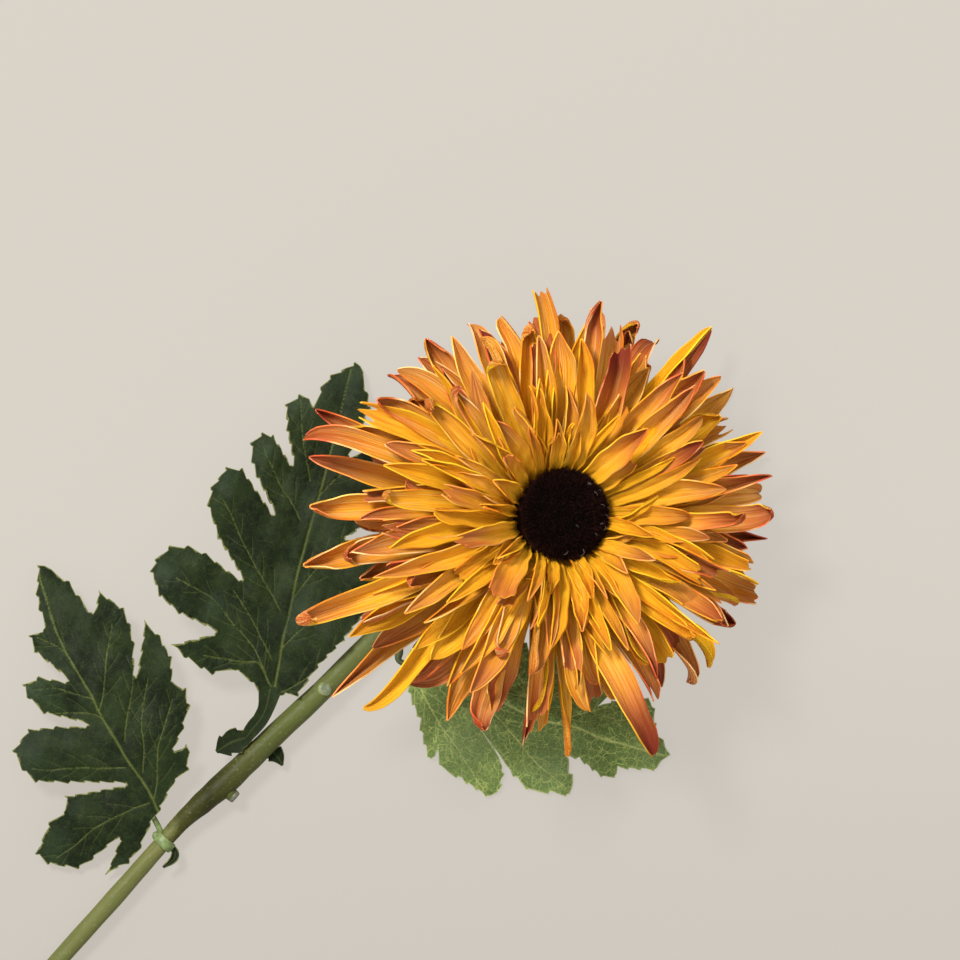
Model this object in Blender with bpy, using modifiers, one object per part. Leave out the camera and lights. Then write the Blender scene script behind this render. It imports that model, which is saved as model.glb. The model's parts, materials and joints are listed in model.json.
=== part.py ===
"""Chrysanthemum: one large bloom on a cut stem with three lobed leaves, laid down on a surface.

The bloom faces up and leans a little to the right, and the stem runs off to the lower left.
Sizes are millimetres in a plan seen from above, with X to the right, Y up the plan and Z up.
"""

import math
import random

import bmesh
import bpy
from mathutils import Matrix, Vector
from mathutils.geometry import delaunay_2d_cdt

MM = 0.001
GAP = 0.35
SLIVER = 0.02

# The bloom stands in a frame of its own, whose Z axis is the flower's axis.
BLOOM_CENTRE = Vector((15.7, -9.7, 23.4))
LEAN_DEG = 15.0
LEAN_TOWARDS_DEG = 15.0

DISC_RADIUS = 11.3
DISC_BASE = 16.3
DISC_HEIGHT = 5.4
DISC_RELIEF = 0.3
DISC_RIM_HEIGHT = 1.2
DISC_RIM_SHARE = 0.96
DISC_LEVELS = 10
DISC_STEPS = 36
CORE_PROFILE = ((12.8, 15.9), (14.2, 13.0), (16.0, 8.0), (16.4, 3.0), (14.4, -1.0), (12.6, -3.0))
CORE_SIDES = 28
CALYX_TOP = -3.0 - GAP
CALYX_PROFILE = ((12.2, CALYX_TOP), (12.0, -4.6), (10.0, -7.6), (6.5, -9.8), (4.4, -11.6), (3.8, -14.5))
CALYX_SIDES = 24
BRACT_COUNT = 11
BRACT = {
    "root": 7.4, "height": -8.2, "lift": 42.0, "tip_lift": 14.0, "length": 8.6, "width": 5.0,
    "cup": 0.35, "sweep": 0.0, "twist": 0.0,
}

# Each ring of petals: how many, root radius and height, rise at the root and at the tip in
# degrees, length, width.
PETAL_RINGS = (
    (10, 11.9, 12.0, 76.0, 34.0, 17.5, 3.6),
    (14, 12.2, 11.0, 60.0, 8.0, 27.0, 4.6),
    (24, 12.6, 9.0, 44.0, -4.0, 36.0, 5.4),
    (30, 13.0, 6.5, 27.0, -12.0, 42.0, 6.0),
    (26, 13.0, 3.5, 12.0, -20.0, 44.0, 6.2),
    (20, 12.4, 0.8, -5.0, -36.0, 40.0, 6.0),
)
# Petals that are measured, as seen from above about the disc: direction of the tip in degrees,
# reach from the disc's centre, turn of the tip from the root in degrees, ring whose rise it
# follows, or a place between two rings, width. First the outermost ones, then the inner ones.
OUTER_TIPS = (
    (96.8, 56.7, 4, 3, 5.0), (114.7, 50.3, 2, 4, 5.5), (122.8, 51.7, -5, 3, 5.5),
    (132.9, 53.2, 3, 4, 6.0), (131.3, 46.9, -12, 3, 6.6), (143.1, 46.6, -8, 4, 5.0),
    (153.1, 57.5, 7, 3, 6.5), (157.6, 62.4, -4, 5, 4.2), (162.6, 67.6, 3, 4, 6.0),
    (167.6, 65.4, -2, 5, 6.5), (180.0, 62.8, 3, 4, 7.0), (191.6, 63.5, 2, 5, 7.5),
    (200.8, 71.7, -4, 3, 7.0), (209.0, 61.4, 0, 4, 7.0), (218.1, 73.0, 3, 5, 7.0),
    (225.4, 69.1, 4, 4, 6.0), (228.5, 58.4, 2, 5, 6.0), (238.9, 58.1, 3, 4, 6.5),
    (246.6, 56.4, 4, 3, 6.5), (259.2, 58.5, 2, 4, 5.0), (263.6, 49.3, 0, 3, 4.4),
    (269.8, 60.3, 3, 4, 3.4), (290.1, 63.9, -12, 3, 6.2), (299.0, 49.5, -6, 4, 5.5),
    (307.8, 53.5, -4, 4, 6.5), (316.3, 52.1, 2, 3, 5.5), (324.3, 47.1, -3, 5, 6.0),
    (337.0, 54.4, 3, 5, 6.8), (341.2, 48.9, -4, 3, 6.0), (352.9, 50.5, 2, 5, 6.0),
    (359.4, 49.3, 5, 3, 6.6), (5.8, 51.5, -3, 4, 6.0), (10.0, 52.0, 3, 3, 5.0),
    (17.3, 52.1, -2, 5, 6.0), (22.3, 52.0, 4, 3, 5.0), (36.1, 53.5, 3, 5, 6.0),
    (41.1, 51.4, -3, 3, 5.8), (50.9, 58.3, -6, 3, 3.4), (52.0, 57.5, 3, 4, 5.0),
    (63.6, 43.8, 4, 3, 5.6), (71.9, 43.8, 8, 2, 7.6), (80.5, 53.0, -3, 4, 6.2),
    (83.1, 47.8, -5, 3, 5.5),
)
INNER_TIPS = (
    (95.6, 23.2, 1, 0, 3.8), (114.4, 29.4, 11, 1, 3.2), (113.5, 23.5, 2, 0, 2.6),
    (128.7, 29.2, 3, 1, 5.8), (126.8, 33.8, -14, 1, 2.8), (123.2, 41.8, -18, 2, 4.4),
    (128.2, 47.8, -18, 2, 2.8), (160.0, 38.5, 1, 1.4, 4.2), (152.4, 31.0, 1, 1, 2.2),
    (145.6, 28.5, -26, 1, 3.0), (155.4, 19.5, 0, 0, 4.6), (168.7, 30.9, -6, 1, 4.6),
    (80.1, 29.8, 6, 0.5, 5.6), (84.8, 22.1, -2, 0, 1.9), (98.7, 44.5, -2, 2, 5.8),
    (92.6, 44.8, 2, 2, 7.4), (95.2, 33.5, -8, 1, 1.8), (101.0, 33.6, -9, 1, 3.0),
    (61.2, 27.9, -9, 0.5, 2.2), (67.9, 29.2, 0, 1, 2.2), (51.0, 44.5, -3, 2, 5.5),
    (45.8, 29.1, -3, 0.5, 6.2), (44.5, 44.4, 1, 2, 6.2), (27.4, 37.5, 2, 1.4, 3.8),
    (27.0, 30.5, 2, 1, 1.9), (22.4, 36.2, 9, 1.4, 3.4), (12.4, 22.9, 26, 0, 2.0),
    (15.0, 43.0, 3, 2, 4.0), (8.0, 40.0, -3, 2, 4.6), (193.0, 28.5, -4, 0.5, 5.0),
    (213.0, 20.1, -2, 0, 2.7), (216.6, 35.9, -1, 1.4, 3.8), (231.0, 27.5, 9, 0.5, 6.8),
    (237.4, 19.3, -24, 0, 3.8), (245.6, 23.9, -5, 0, 3.0), (252.8, 29.5, -4, 1, 3.6),
    (257.9, 28.9, -3, 0.5, 2.2), (263.0, 33.2, 1, 1, 3.2), (242.5, 48.8, 0, 2, 7.2),
    (236.0, 47.0, -3, 2, 5.8), (232.5, 42.3, 4, 2, 5.0), (222.0, 50.0, -3, 3, 5.4),
    (211.0, 47.0, 4, 2, 5.0), (347.2, 18.1, 25, 0, 2.4), (341.4, 38.0, -12, 1.4, 3.0),
    (335.2, 37.4, -8, 1.4, 4.6), (331.0, 41.1, -4, 2, 3.2), (325.3, 45.3, 0, 2, 5.4),
    (332.8, 24.5, 6, 0, 3.0), (324.0, 38.6, 0, 2, 5.0), (320.1, 48.5, 7, 2, 4.8),
    (302.9, 32.3, -13, 0.7, 5.0), (302.9, 24.8, 2, 0.5, 3.6), (295.6, 23.5, 0, 0, 2.6),
    (286.0, 29.6, 5, 1, 2.6), (288.0, 35.5, 5, 1.4, 4.2), (285.8, 36.3, 14, 1.4, 2.4),
    (294.5, 37.0, 2, 1.4, 2.8), (298.4, 46.3, -6, 2, 5.6), (274.0, 43.0, 2, 2, 4.6),
    (184.0, 42.0, -4, 2, 5.6), (176.0, 46.0, 3, 2, 5.4), (190.5, 45.0, 4, 2, 5.2),
    (165.0, 47.0, 3, 2, 6.2), (198.5, 50.0, -5, 2, 5.4), (357.0, 43.0, 4, 2, 5.0),
    (350.5, 36.0, 5, 1.4, 4.0), (35.0, 42.0, 2, 2, 4.6),
)
# Which of every five petals of each ring are here, and the least width of a measured one.
RINGS_KEPT = ((0,), (0,), (0,), (0, 3), (0, 3), (0, 3))
LEAST_WIDTH = 2.5
PETAL_SEED = 35
PETAL_THICKNESS = 0.9
PETAL_STATIONS = (0.0, 0.24, 0.5, 0.76, 0.93)
PETAL_FORM = ((0.0, 0.42), (0.24, 0.72), (0.5, 0.96), (0.76, 0.94), (0.93, 0.46), (1.0, 0.0))
AIM_ROUNDS = 10
# Least heights above the surface: of a petal's middle line, eased in over the last millimetres,
# then of its edges and its middle above and below, and of its tip.
FLOOR_CLEARANCE = 0.7
FLOOR_EASE = 2.0
FLOOR_REACH = 12.0
PETAL_FLOORS = (0.6, 0.9, 0.6, 0.0)
TIP_FLOOR = 0.4
TIP_DROP = 0.3

# Stem centre line: X, Y, height above the surface, radius.
STEM_ROUTE = (
    (-135.0, -153.7, 2.15, 2.15), (-120.0, -136.8, 2.4, 2.15), (-105.3, -120.0, 2.8, 2.2),
    (-93.5, -106.8, 3.2, 2.25), (-84.0, -96.0, 3.4, 2.15), (-79.2, -90.6, 3.5, 2.05),
    (-74.5, -85.3, 3.6, 2.25), (-69.5, -80.8, 3.8, 2.8), (-64.0, -76.0, 4.0, 3.15),
    (-58.3, -70.5, 4.2, 3.0),
    (-50.8, -63.3, 4.3, 2.8), (-39.8, -53.0, 4.3, 2.7), (-23.3, -36.6, 4.2, 2.6),
    (-10.0, -25.0, 3.9, 2.5), (-1.5, -18.6, 3.7, 2.4), (4.0, -15.0, 3.9, 2.4),
    (8.5, -12.5, 5.0, 2.4), (11.2, -11.0, 7.2, 2.4),
)
STEM_SIDES = 12
# Collar round the stem: place, direction, the stem's radius there, wall, length.
COLLAR = (Vector((-79.2, -90.6, 3.5)), Vector((0.664, 0.748, 0.02)), 2.1, 0.6, 3.0)
# Pegs on the stem, each from the centre line: place, direction, length, radii at foot and end.
# The first two carry leaves; the others stay bare.
PEGS = {
    "middle": (Vector((-57.5, -69.6, 4.3)), Vector((-0.26, 0.96, 0.04)), 5.3, (1.4, 1.1)),
    "upper": (Vector((-21.6, -35.1, 4.2)), Vector((0.24, -0.97, -0.06)), 4.6, (1.6, 1.25)),
    "side_stub": (Vector((-65.0, -76.4, 4.0)), Vector((0.76, -0.65, 0.0)), 4.6, (2.0, 1.6)),
    "top_stub": (Vector((-40.1, -52.7, 4.3)), Vector((0.26, 0.02, 0.96)), 3.5, (2.0, 1.55)),
}

LOWER_LEAF = {
    "base": (-80.0, -88.2), "heading": 114.9, "length": 73.6,
    "height": (5.6, 10.5, 3.0), "fall": 0.16, "wave": 0.7, "rests": False,
    "outline": (
        (2.4, -1.6), (-1.6, -6.0), (-3.9, -10.6), (-3.9, -17.2), (3.2, -9.8), (0.8, -18.4),
        (0.1, -22.8), (4.5, -29.3), (8.3, -30.9), (14.1, -24.3), (15.2, -19.1), (18.5, -17.9),
        (14.6, -2.3), (20.8, -15.7), (24.5, -23.1), (28.8, -24.7), (34.2, -24.9), (37.5, -19.0),
        (35.2, -12.3), (32.0, -4.7), (39.2, -13.8), (44.6, -15.9), (48.1, -15.7), (48.3, -10.9),
        (44.0, -4.6), (54.1, -9.6), (58.6, -9.2), (58.6, -4.5), (63.4, -4.2), (67.1, -3.3),
        (73.6, 0.0), (71.2, 2.8), (66.5, 5.8), (61.9, 6.7), (56.7, 7.9), (61.6, 11.5),
        (54.8, 15.5), (50.2, 15.3), (45.5, 14.2), (37.7, 10.9), (50.0, 18.8), (44.7, 20.7),
        (38.6, 21.3), (32.3, 18.9), (30.1, 21.2), (25.6, 20.2), (21.1, 16.4), (16.9, 11.7),
        (17.4, 15.3), (15.2, 15.3), (11.2, 13.2), (9.6, 8.3), (5.1, 2.6),
    ),
}
MIDDLE_LEAF = {
    "base": (-52.7, -57.5), "heading": 76.3, "length": 89.6,
    "height": (5.6, 9.0, 0.0), "fall": -0.10, "wave": 0.8, "rests": False,
    "outline": (
        (2.4, -2.7), (5.9, -6.6), (7.6, -11.1), (5.1, -15.9), (6.1, -19.2), (7.8, -23.8),
        (10.2, -27.7), (15.9, -17.3), (18.0, -27.6), (21.2, -33.5), (26.7, -37.1), (29.9, -36.6),
        (34.2, -33.8), (35.3, -29.2), (34.5, -24.4), (30.0, -14.0), (38.5, -22.5), (46.1, -27.2),
        (50.7, -27.3), (56.5, -24.9), (57.2, -20.7), (47.7, -10.1), (55.8, -17.0), (59.2, -19.1),
        (63.7, -20.5), (67.1, -18.2), (67.1, -15.1), (60.7, -8.6), (69.0, -12.5), (75.0, -14.4),
        (78.5, -11.5), (77.9, -8.7), (76.2, -7.3), (81.5, -6.8), (85.0, -5.1), (89.6, 0.0),
        (87.7, 2.8), (82.4, 5.4), (79.4, 6.9), (66.0, 4.7), (74.4, 11.7), (72.4, 18.1),
        (64.3, 21.1), (57.4, 19.2), (45.8, 8.4), (51.5, 19.1), (48.0, 25.8), (41.2, 26.2),
        (35.5, 20.9), (21.5, 14.3), (13.1, 9.4), (4.9, 6.3), (4.2, 2.3),
    ),
}
UPPER_LEAF = {
    "base": (-20.0, -45.5), "heading": -19.1, "length": 71.7,
    "height": (4.6, 5.6, 1.2), "fall": 0.28, "wave": 0.4, "rests": True,
    "outline": (
        (5.3, 6.9), (9.6, 11.7), (11.3, 15.1), (15.4, 20.6), (16.1, 17.4), (18.9, 21.7),
        (23.9, 22.4), (32.3, 24.5), (33.7, 23.2), (33.1, 17.6), (30.6, 12.7), (25.1, 9.8),
        (37.1, 17.8), (41.7, 19.7), (46.6, 18.3), (51.0, 17.5), (51.0, 15.1), (49.1, 12.6),
        (46.5, 8.2), (50.4, 7.9), (57.8, 10.4), (60.5, 8.9), (60.1, 6.9), (69.5, 4.2),
        (71.7, 0.0), (68.8, -3.0), (66.3, -3.4), (63.2, -10.0), (60.9, -11.3), (50.5, -5.6),
        (51.7, -10.3), (51.5, -13.4), (46.4, -17.4), (42.9, -17.5), (37.2, -14.8), (32.5, -3.9),
        (30.1, -12.3), (24.5, -17.0), (18.0, -16.8), (14.7, -10.9), (15.1, -3.7), (9.6, -6.5),
        (4.8, -5.4), (1.3, -2.3),
    ),
}
LEAF_THICKNESS = 0.8
LEAF_GRID = 5.0
LEAF_COLUMNS = 9
TOOTH_SPACING = 4.2
TOOTH_DEPTH = 0.7
TOOTH_PLACE = 0.72
# The flat spot that the upper leaf rests on: place along and across it, radius, easing.
REST_SPOT = (41.0, 13.0, 5.2, 6.0)

# Leaf stalks: radii of the rib under the blade, how many stations it has, its share of the
# leaf's length, and the points that a stalk bends through on its way from its peg.
RIB_RADIUS = (0.75, 0.35)
RIB_STATIONS = 9
RIB_SHARE = {"lower": 0.7, "middle": 0.72, "upper": 0.7}
PEG_LEAD = 0.8
STALK_BEND = {"middle": (-56.4, -60.9, 4.5, 1.1), "upper": (-20.3, -43.2, 3.5, 1.1)}
COLLAR_FOOT = ((-80.9, -89.6, 4.3, 1.0), (-81.2, -88.9, 4.2, 0.9))
# Stipules: root, tip, width. Their form is a place along and a reach across, both as shares.
LOWER_STIPULE = ((-77.4, -92.3, 3.4), (-78.6, -97.4, 4.4), 2.6)
MIDDLE_STIPULE = ((-58.9, -61.9, 4.0), (-67.0, -65.9, 4.8), 4.0)
STIPULE_FORM = (
    (0.0, 0.4), (0.35, 1.0), (0.5, 0.6), (0.7, 0.8), (1.0, 0.0), (0.65, -0.7), (0.5, -0.5),
    (0.3, -1.0), (0.0, -0.4),
)

PETAL_LOOK = ("petal cloth", (0.78, 0.32, 0.06, 1.0), 0.7)
DISC_LOOK = ("dark flock", (0.012, 0.006, 0.005, 1.0), 0.95)
GREEN_LOOK = ("calyx plastic", (0.16, 0.24, 0.07, 1.0), 0.55)
STEM_LOOK = ("stem plastic", (0.24, 0.30, 0.10, 1.0), 0.5)
DARK_LEAF_LOOK = ("dark leaf cloth", (0.03, 0.08, 0.04, 1.0), 0.7)
PALE_LEAF_LOOK = ("pale leaf cloth", (0.09, 0.18, 0.07, 1.0), 0.7)
COLLAR_LOOK = ("collar plastic", (0.36, 0.50, 0.20, 1.0), 0.5)


def clear_scene():
    """Remove whatever objects the scene holds."""
    for item in list(bpy.data.objects):
        bpy.data.objects.remove(item, do_unlink=True)


def material(look):
    """Principled material from a name, a colour and a roughness."""
    name, colour, roughness = look
    made = bpy.data.materials.get(name) or bpy.data.materials.new(name)
    made.use_nodes = True
    shader = made.node_tree.nodes["Principled BSDF"]
    shader.inputs["Base Color"].default_value = colour
    shader.inputs["Roughness"].default_value = roughness
    shader.inputs["Metallic"].default_value = 0.0
    made.diffuse_color = colour
    return made


def bloom_frame():
    """Matrix from the bloom's own frame to the plan."""
    towards = math.radians(LEAN_TOWARDS_DEG)
    hinge = Vector((-math.sin(towards), math.cos(towards), 0.0))
    return Matrix.Translation(BLOOM_CENTRE) @ Matrix.Rotation(math.radians(LEAN_DEG), 4, hinge)


BLOOM = bloom_frame()
DISC_CENTRE = BLOOM @ Vector((0.0, 0.0, DISC_BASE + DISC_HEIGHT))


def object_from_bmesh(name, mesh_data, collection):
    """Make an object of a bmesh in millimetres, and free the bmesh."""
    bmesh.ops.scale(mesh_data, vec=(MM, MM, MM), verts=mesh_data.verts)
    bmesh.ops.recalc_face_normals(mesh_data, faces=mesh_data.faces)
    mesh = bpy.data.meshes.new(name)
    mesh_data.to_mesh(mesh)
    mesh_data.free()
    made = bpy.data.objects.new(name, mesh)
    collection.objects.link(made)
    return made


def curve_tube(name, route, sides, collection):
    """Round tube along a route of X, Y, Z and radius, as a mesh with its caps welded."""
    curve = bpy.data.curves.new(name, "CURVE")
    curve.dimensions = "3D"
    curve.bevel_depth = MM
    curve.bevel_resolution = (sides - 4) // 2
    curve.use_fill_caps = True
    spline = curve.splines.new("POLY")
    spline.points.add(len(route) - 1)
    for point, (x, y, z, radius) in zip(spline.points, route):
        point.co = (x * MM, y * MM, z * MM, 1.0)
        point.radius = radius
    guide = bpy.data.objects.new(name + "_route", curve)
    collection.objects.link(guide)
    evaluated = guide.evaluated_get(bpy.context.evaluated_depsgraph_get())
    mesh = bpy.data.meshes.new_from_object(evaluated)
    mesh.name = name
    bpy.data.objects.remove(guide, do_unlink=True)
    welded = bmesh.new()
    welded.from_mesh(mesh)
    bmesh.ops.remove_doubles(welded, verts=welded.verts, dist=0.01 * MM)
    bmesh.ops.recalc_face_normals(welded, faces=welded.faces)
    welded.to_mesh(mesh)
    welded.free()
    made = bpy.data.objects.new(name, mesh)
    collection.objects.link(made)
    return made


def smooth_route(route, steps):
    """Points of a smooth curve through a route, with steps between each two of its points."""
    ends = [route[0]] + list(route) + [route[-1]]
    points = []
    for before, start, end, after in zip(ends, ends[1:], ends[2:], ends[3:]):
        for step in range(steps):
            t = step / steps
            points.append(tuple(
                0.5 * (2 * q + (r - p) * t + (2 * p - 5 * q + 4 * r - s) * t * t
                       + (3 * q - p - 3 * r + s) * t ** 3)
                for p, q, r, s in zip(before, start, end, after)))
    points.append(route[-1])
    return points


def turned(name, profile, sides, frame, collection):
    """Closed turned piece from a profile of radius and height, top to bottom at the axis."""
    mesh = bpy.data.meshes.new(name)
    heights = [(0.0, profile[0][1])] + list(profile) + [(0.0, profile[-1][1])]
    points = [(radius * MM, 0.0, height * MM) for radius, height in heights]
    mesh.from_pydata(points, [(i, i + 1) for i in range(len(points) - 1)], [])
    made = bpy.data.objects.new(name, mesh)
    collection.objects.link(made)
    screw = made.modifiers.new("turn", "SCREW")
    screw.steps = sides
    screw.render_steps = sides
    screw.use_merge_vertices = True
    screw.merge_threshold = 0.00001
    apply_modifiers(made)
    made.data.transform(scaled_frame(frame))
    return made


def scaled_frame(frame):
    """The same frame with its place in metres."""
    in_metres = frame.copy()
    in_metres.translation = frame.translation * MM
    return in_metres


def apply_modifiers(target):
    """Put the evaluated shape in place of the object's mesh and its modifiers."""
    evaluated = target.evaluated_get(bpy.context.evaluated_depsgraph_get())
    mesh = bpy.data.meshes.new_from_object(evaluated)
    target.modifiers.clear()
    target.data = mesh


def combine(target, collection, operation="UNION", solver="MANIFOLD"):
    """Join or cut the target with all of a collection, then remove the collection's objects."""
    boolean = target.modifiers.new("combine", "BOOLEAN")
    boolean.operation = operation
    boolean.operand_type = "COLLECTION"
    boolean.collection = collection
    boolean.solver = solver
    apply_modifiers(target)
    for item in list(collection.objects):
        bpy.data.objects.remove(item, do_unlink=True)


def keep_main_body(target):
    """Drop sealed hollows and loose scraps, so that one closed body is left."""
    shape = bmesh.new()
    shape.from_mesh(target.data)
    bmesh.ops.triangulate(shape, faces=shape.faces)
    bmesh.ops.dissolve_degenerate(shape, dist=SLIVER * MM, edges=shape.edges)
    bmesh.ops.triangulate(shape, faces=shape.faces)
    unseen = set(shape.verts)
    bodies = []
    while unseen:
        body = set()
        edge = [unseen.pop()]
        while edge:
            vert = edge.pop()
            body.add(vert)
            for link in vert.link_edges:
                other = link.other_vert(vert)
                if other in unseen:
                    unseen.remove(other)
                    edge.append(other)
        bodies.append(body)
    bodies.sort(key=len)
    scraps = [vert for body in bodies[:-1] for vert in body]
    bmesh.ops.delete(shape, geom=scraps, context="VERTS")
    shape.to_mesh(target.data)
    shape.free()


def finish(target, look, angle_deg=40.0):
    """Give a piece its material and its smooth shading."""
    target.data.materials.clear()
    target.data.materials.append(material(look))
    target.data.shade_smooth()
    target.data.set_sharp_from_angle(angle=math.radians(angle_deg))


def petal_arc(petal, s):
    """Place and rise of a petal's middle at a share s of its length, in the bloom's frame."""
    rise = math.radians(petal["lift"])
    bend = math.radians(petal["tip_lift"]) - rise
    at = rise + bend * s
    out = petal["root"] + petal["length"] * (math.sin(at) - math.sin(rise)) / bend
    up = petal["height"] + petal["length"] * (math.cos(rise) - math.cos(at)) / bend
    along = Matrix.Rotation(math.radians(petal["azimuth"]), 3, "Z")
    side_shift = petal["sweep"] * petal["length"] * s * s
    place = along @ Vector((out, side_shift, up))
    tangent = along @ Vector((math.cos(at), 2 * petal["sweep"] * s, math.sin(at))).normalized()
    return place, tangent


def above_floor(height):
    """Height kept above the surface, eased in over the last few millimetres."""
    over = height - FLOOR_CLEARANCE
    if over >= FLOOR_REACH:
        return height
    return FLOOR_CLEARANCE + FLOOR_EASE * math.log1p(math.exp(over / FLOOR_EASE))


def petal_frame(petal, s):
    """Middle, side and normal of a petal at s, in the plan."""
    place, tangent = petal_arc(petal, s)
    middle = BLOOM @ place
    middle.z = above_floor(middle.z)
    ahead, _ = petal_arc(petal, s + 0.01)
    ahead = BLOOM @ ahead
    ahead.z = above_floor(ahead.z)
    tangent = (ahead - middle).normalized()
    axis = BLOOM.to_3x3() @ Vector((0.0, 0.0, 1.0))
    side = axis.cross(tangent).normalized()
    turn = Matrix.Rotation(math.radians(petal["twist"]) * s, 3, tangent)
    side = turn @ side
    return middle, side, tangent.cross(side)


def aim(petal, direction, reach, turn):
    """Turn, stretch and sweep a petal until its tip is where it should be, seen from above."""
    for _ in range(AIM_ROUNDS):
        petal["sweep"] = reach * math.sin(math.radians(turn)) / petal["length"]
        middle, _, _ = petal_frame(petal, 1.0)
        offset = middle - DISC_CENTRE
        miss = direction - math.degrees(math.atan2(offset.y, offset.x))
        petal["azimuth"] += (miss + 180.0) % 360.0 - 180.0
        petal["length"] += reach - offset.xy.length


def ring_values(level):
    """Values of a ring, or of a place between two rings."""
    lower = min(int(level), len(PETAL_RINGS) - 2)
    share = level - lower
    return [a + (b - a) * share for a, b in zip(PETAL_RINGS[lower], PETAL_RINGS[lower + 1])]


def petal_list():
    """All petals: the measured ones, then the rings with every one of their petals."""
    draw = random.Random(PETAL_SEED)
    petals = []
    for direction, reach, turn, level, width in OUTER_TIPS + INNER_TIPS:
        _, root, height, lift, tip_lift, length, _ = ring_values(level)
        petal = {
            "azimuth": direction - turn, "root": root, "height": height,
            "lift": lift + draw.uniform(-3.0, 3.0), "tip_lift": tip_lift + draw.uniform(-5.0, 5.0),
            "length": length, "width": width, "cup": draw.uniform(0.25, 0.5),
            "twist": draw.uniform(-18.0, 18.0), "kept": width >= LEAST_WIDTH,
        }
        aim(petal, direction, reach, turn)
        petals.append(petal)
    for ring, (count, root, height, lift, tip_lift, length, width) in enumerate(PETAL_RINGS):
        for index in range(count):
            azimuth = 360.0 * (index + draw.uniform(-0.3, 0.3)) / count + 7.0 * ring
            petals.append({
                "azimuth": azimuth, "root": root,
                "height": height + draw.uniform(-0.8, 0.8),
                "lift": lift + draw.uniform(-7.0, 3.0),
                "tip_lift": tip_lift + draw.uniform(-14.0, 6.0),
                "length": length * draw.uniform(0.86, 1.04), "width": width * draw.uniform(0.85, 1.15),
                "cup": draw.uniform(0.25, 0.6), "sweep": draw.uniform(-0.16, 0.16),
                "twist": draw.uniform(-25.0, 25.0),
                "kept": index % 5 in RINGS_KEPT[ring],
            })
    return petals


def width_share(s):
    """Share of its full width that a petal has at s."""
    for (start, low), (end, high) in zip(PETAL_FORM, PETAL_FORM[1:]):
        if s <= end:
            return low + (high - low) * (s - start) / (end - start)
    return 0.0


def petal_object(name, petal, collection):
    """A petal as a closed channelled blade: two edges, a middle above and a middle below."""
    shape = bmesh.new()
    rings = []
    for s in PETAL_STATIONS:
        middle, side, normal = petal_frame(petal, s)
        half = 0.5 * petal["width"] * width_share(s)
        edge_rise = normal * petal["cup"] * half
        corners = (middle + side * half + edge_rise, middle, middle - side * half + edge_rise,
                   middle - normal * PETAL_THICKNESS)
        rings.append([shape.verts.new((p.x, p.y, max(p.z, floor)))
                      for p, floor in zip(corners, PETAL_FLOORS)])
    tip_place, _, tip_normal = petal_frame(petal, 1.0)
    tip_place -= tip_normal * TIP_DROP * PETAL_THICKNESS
    tip = shape.verts.new((tip_place.x, tip_place.y, max(tip_place.z, TIP_FLOOR)))
    shape.faces.new(rings[0])
    for near, far in zip(rings, rings[1:]):
        for i in range(4):
            j = (i + 1) % 4
            shape.faces.new((near[i], near[j], far[j]))
            shape.faces.new((near[i], far[j], far[i]))
    for i in range(4):
        shape.faces.new((rings[-1][i], rings[-1][(i + 1) % 4], tip))
    return object_from_bmesh(name, shape, collection)


def build_bloom(parts, spare):
    """Core and petals as one body."""
    core = turned("petals", CORE_PROFILE, CORE_SIDES, BLOOM, parts)
    for index, petal in enumerate(petal_list()):
        if petal["kept"]:
            petal_object(f"petal_{index}", petal, spare)
    combine(core, spare)
    keep_main_body(core)
    finish(core, PETAL_LOOK)


def build_disc(parts):
    """Flocked dome with a knobbly relief over all of its top."""
    shape = bmesh.new()
    centre_top = shape.verts.new((0.0, 0.0, DISC_BASE + DISC_HEIGHT))
    levels = []
    for index in range(1, DISC_LEVELS + 1):
        slope = 0.5 * math.pi * index / DISC_LEVELS
        level = []
        for step in range(DISC_STEPS):
            bump = DISC_RELIEF * (1 if (step + index) % 2 else -1) if index < DISC_LEVELS else 0.0
            radius = (DISC_RADIUS + bump) * math.sin(slope)
            height = DISC_BASE + DISC_RIM_HEIGHT \
                + (DISC_HEIGHT - DISC_RIM_HEIGHT + bump) * math.cos(slope)
            turn = 2 * math.pi * (step + 0.5 * index) / DISC_STEPS
            level.append(shape.verts.new((radius * math.cos(turn), radius * math.sin(turn), height)))
        levels.append(level)
    rim = [shape.verts.new((v.co.x * DISC_RIM_SHARE, v.co.y * DISC_RIM_SHARE, DISC_BASE))
           for v in levels[-1]]
    levels.append(rim)
    for step in range(DISC_STEPS):
        shape.faces.new((centre_top, levels[0][step], levels[0][(step + 1) % DISC_STEPS]))
    for upper, lower in zip(levels, levels[1:]):
        for step in range(DISC_STEPS):
            after = (step + 1) % DISC_STEPS
            shape.faces.new((upper[step], lower[step], lower[after]))
            shape.faces.new((upper[step], lower[after], upper[after]))
    shape.faces.new(rim)
    bmesh.ops.transform(shape, matrix=BLOOM, verts=shape.verts)
    finish(object_from_bmesh("disc", shape, parts), DISC_LOOK, 80.0)


def build_calyx(parts, spare):
    """Green cup under the petals, with pointed bracts, that the stem ends at."""
    cup = turned("calyx", CALYX_PROFILE, CALYX_SIDES, BLOOM, parts)
    for index in range(BRACT_COUNT):
        petal_object(f"bract_{index}", {**BRACT, "azimuth": 360.0 * index / BRACT_COUNT}, spare)
    combine(cup, spare)
    keep_main_body(cup)
    finish(cup, GREEN_LOOK)


def stem_top():
    """Last point of the stem's centre line, GAP under the calyx."""
    radius, bottom = CALYX_PROFILE[-1]
    return *(BLOOM @ Vector((0.0, 0.0, bottom - GAP))), 0.7 * radius


def facing(place, direction):
    """Frame at a place whose Z axis points in a direction."""
    turn = Vector((0.0, 0.0, 1.0)).rotation_difference(direction.normalized())
    return Matrix.Translation(place) @ turn.to_matrix().to_4x4()


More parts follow.
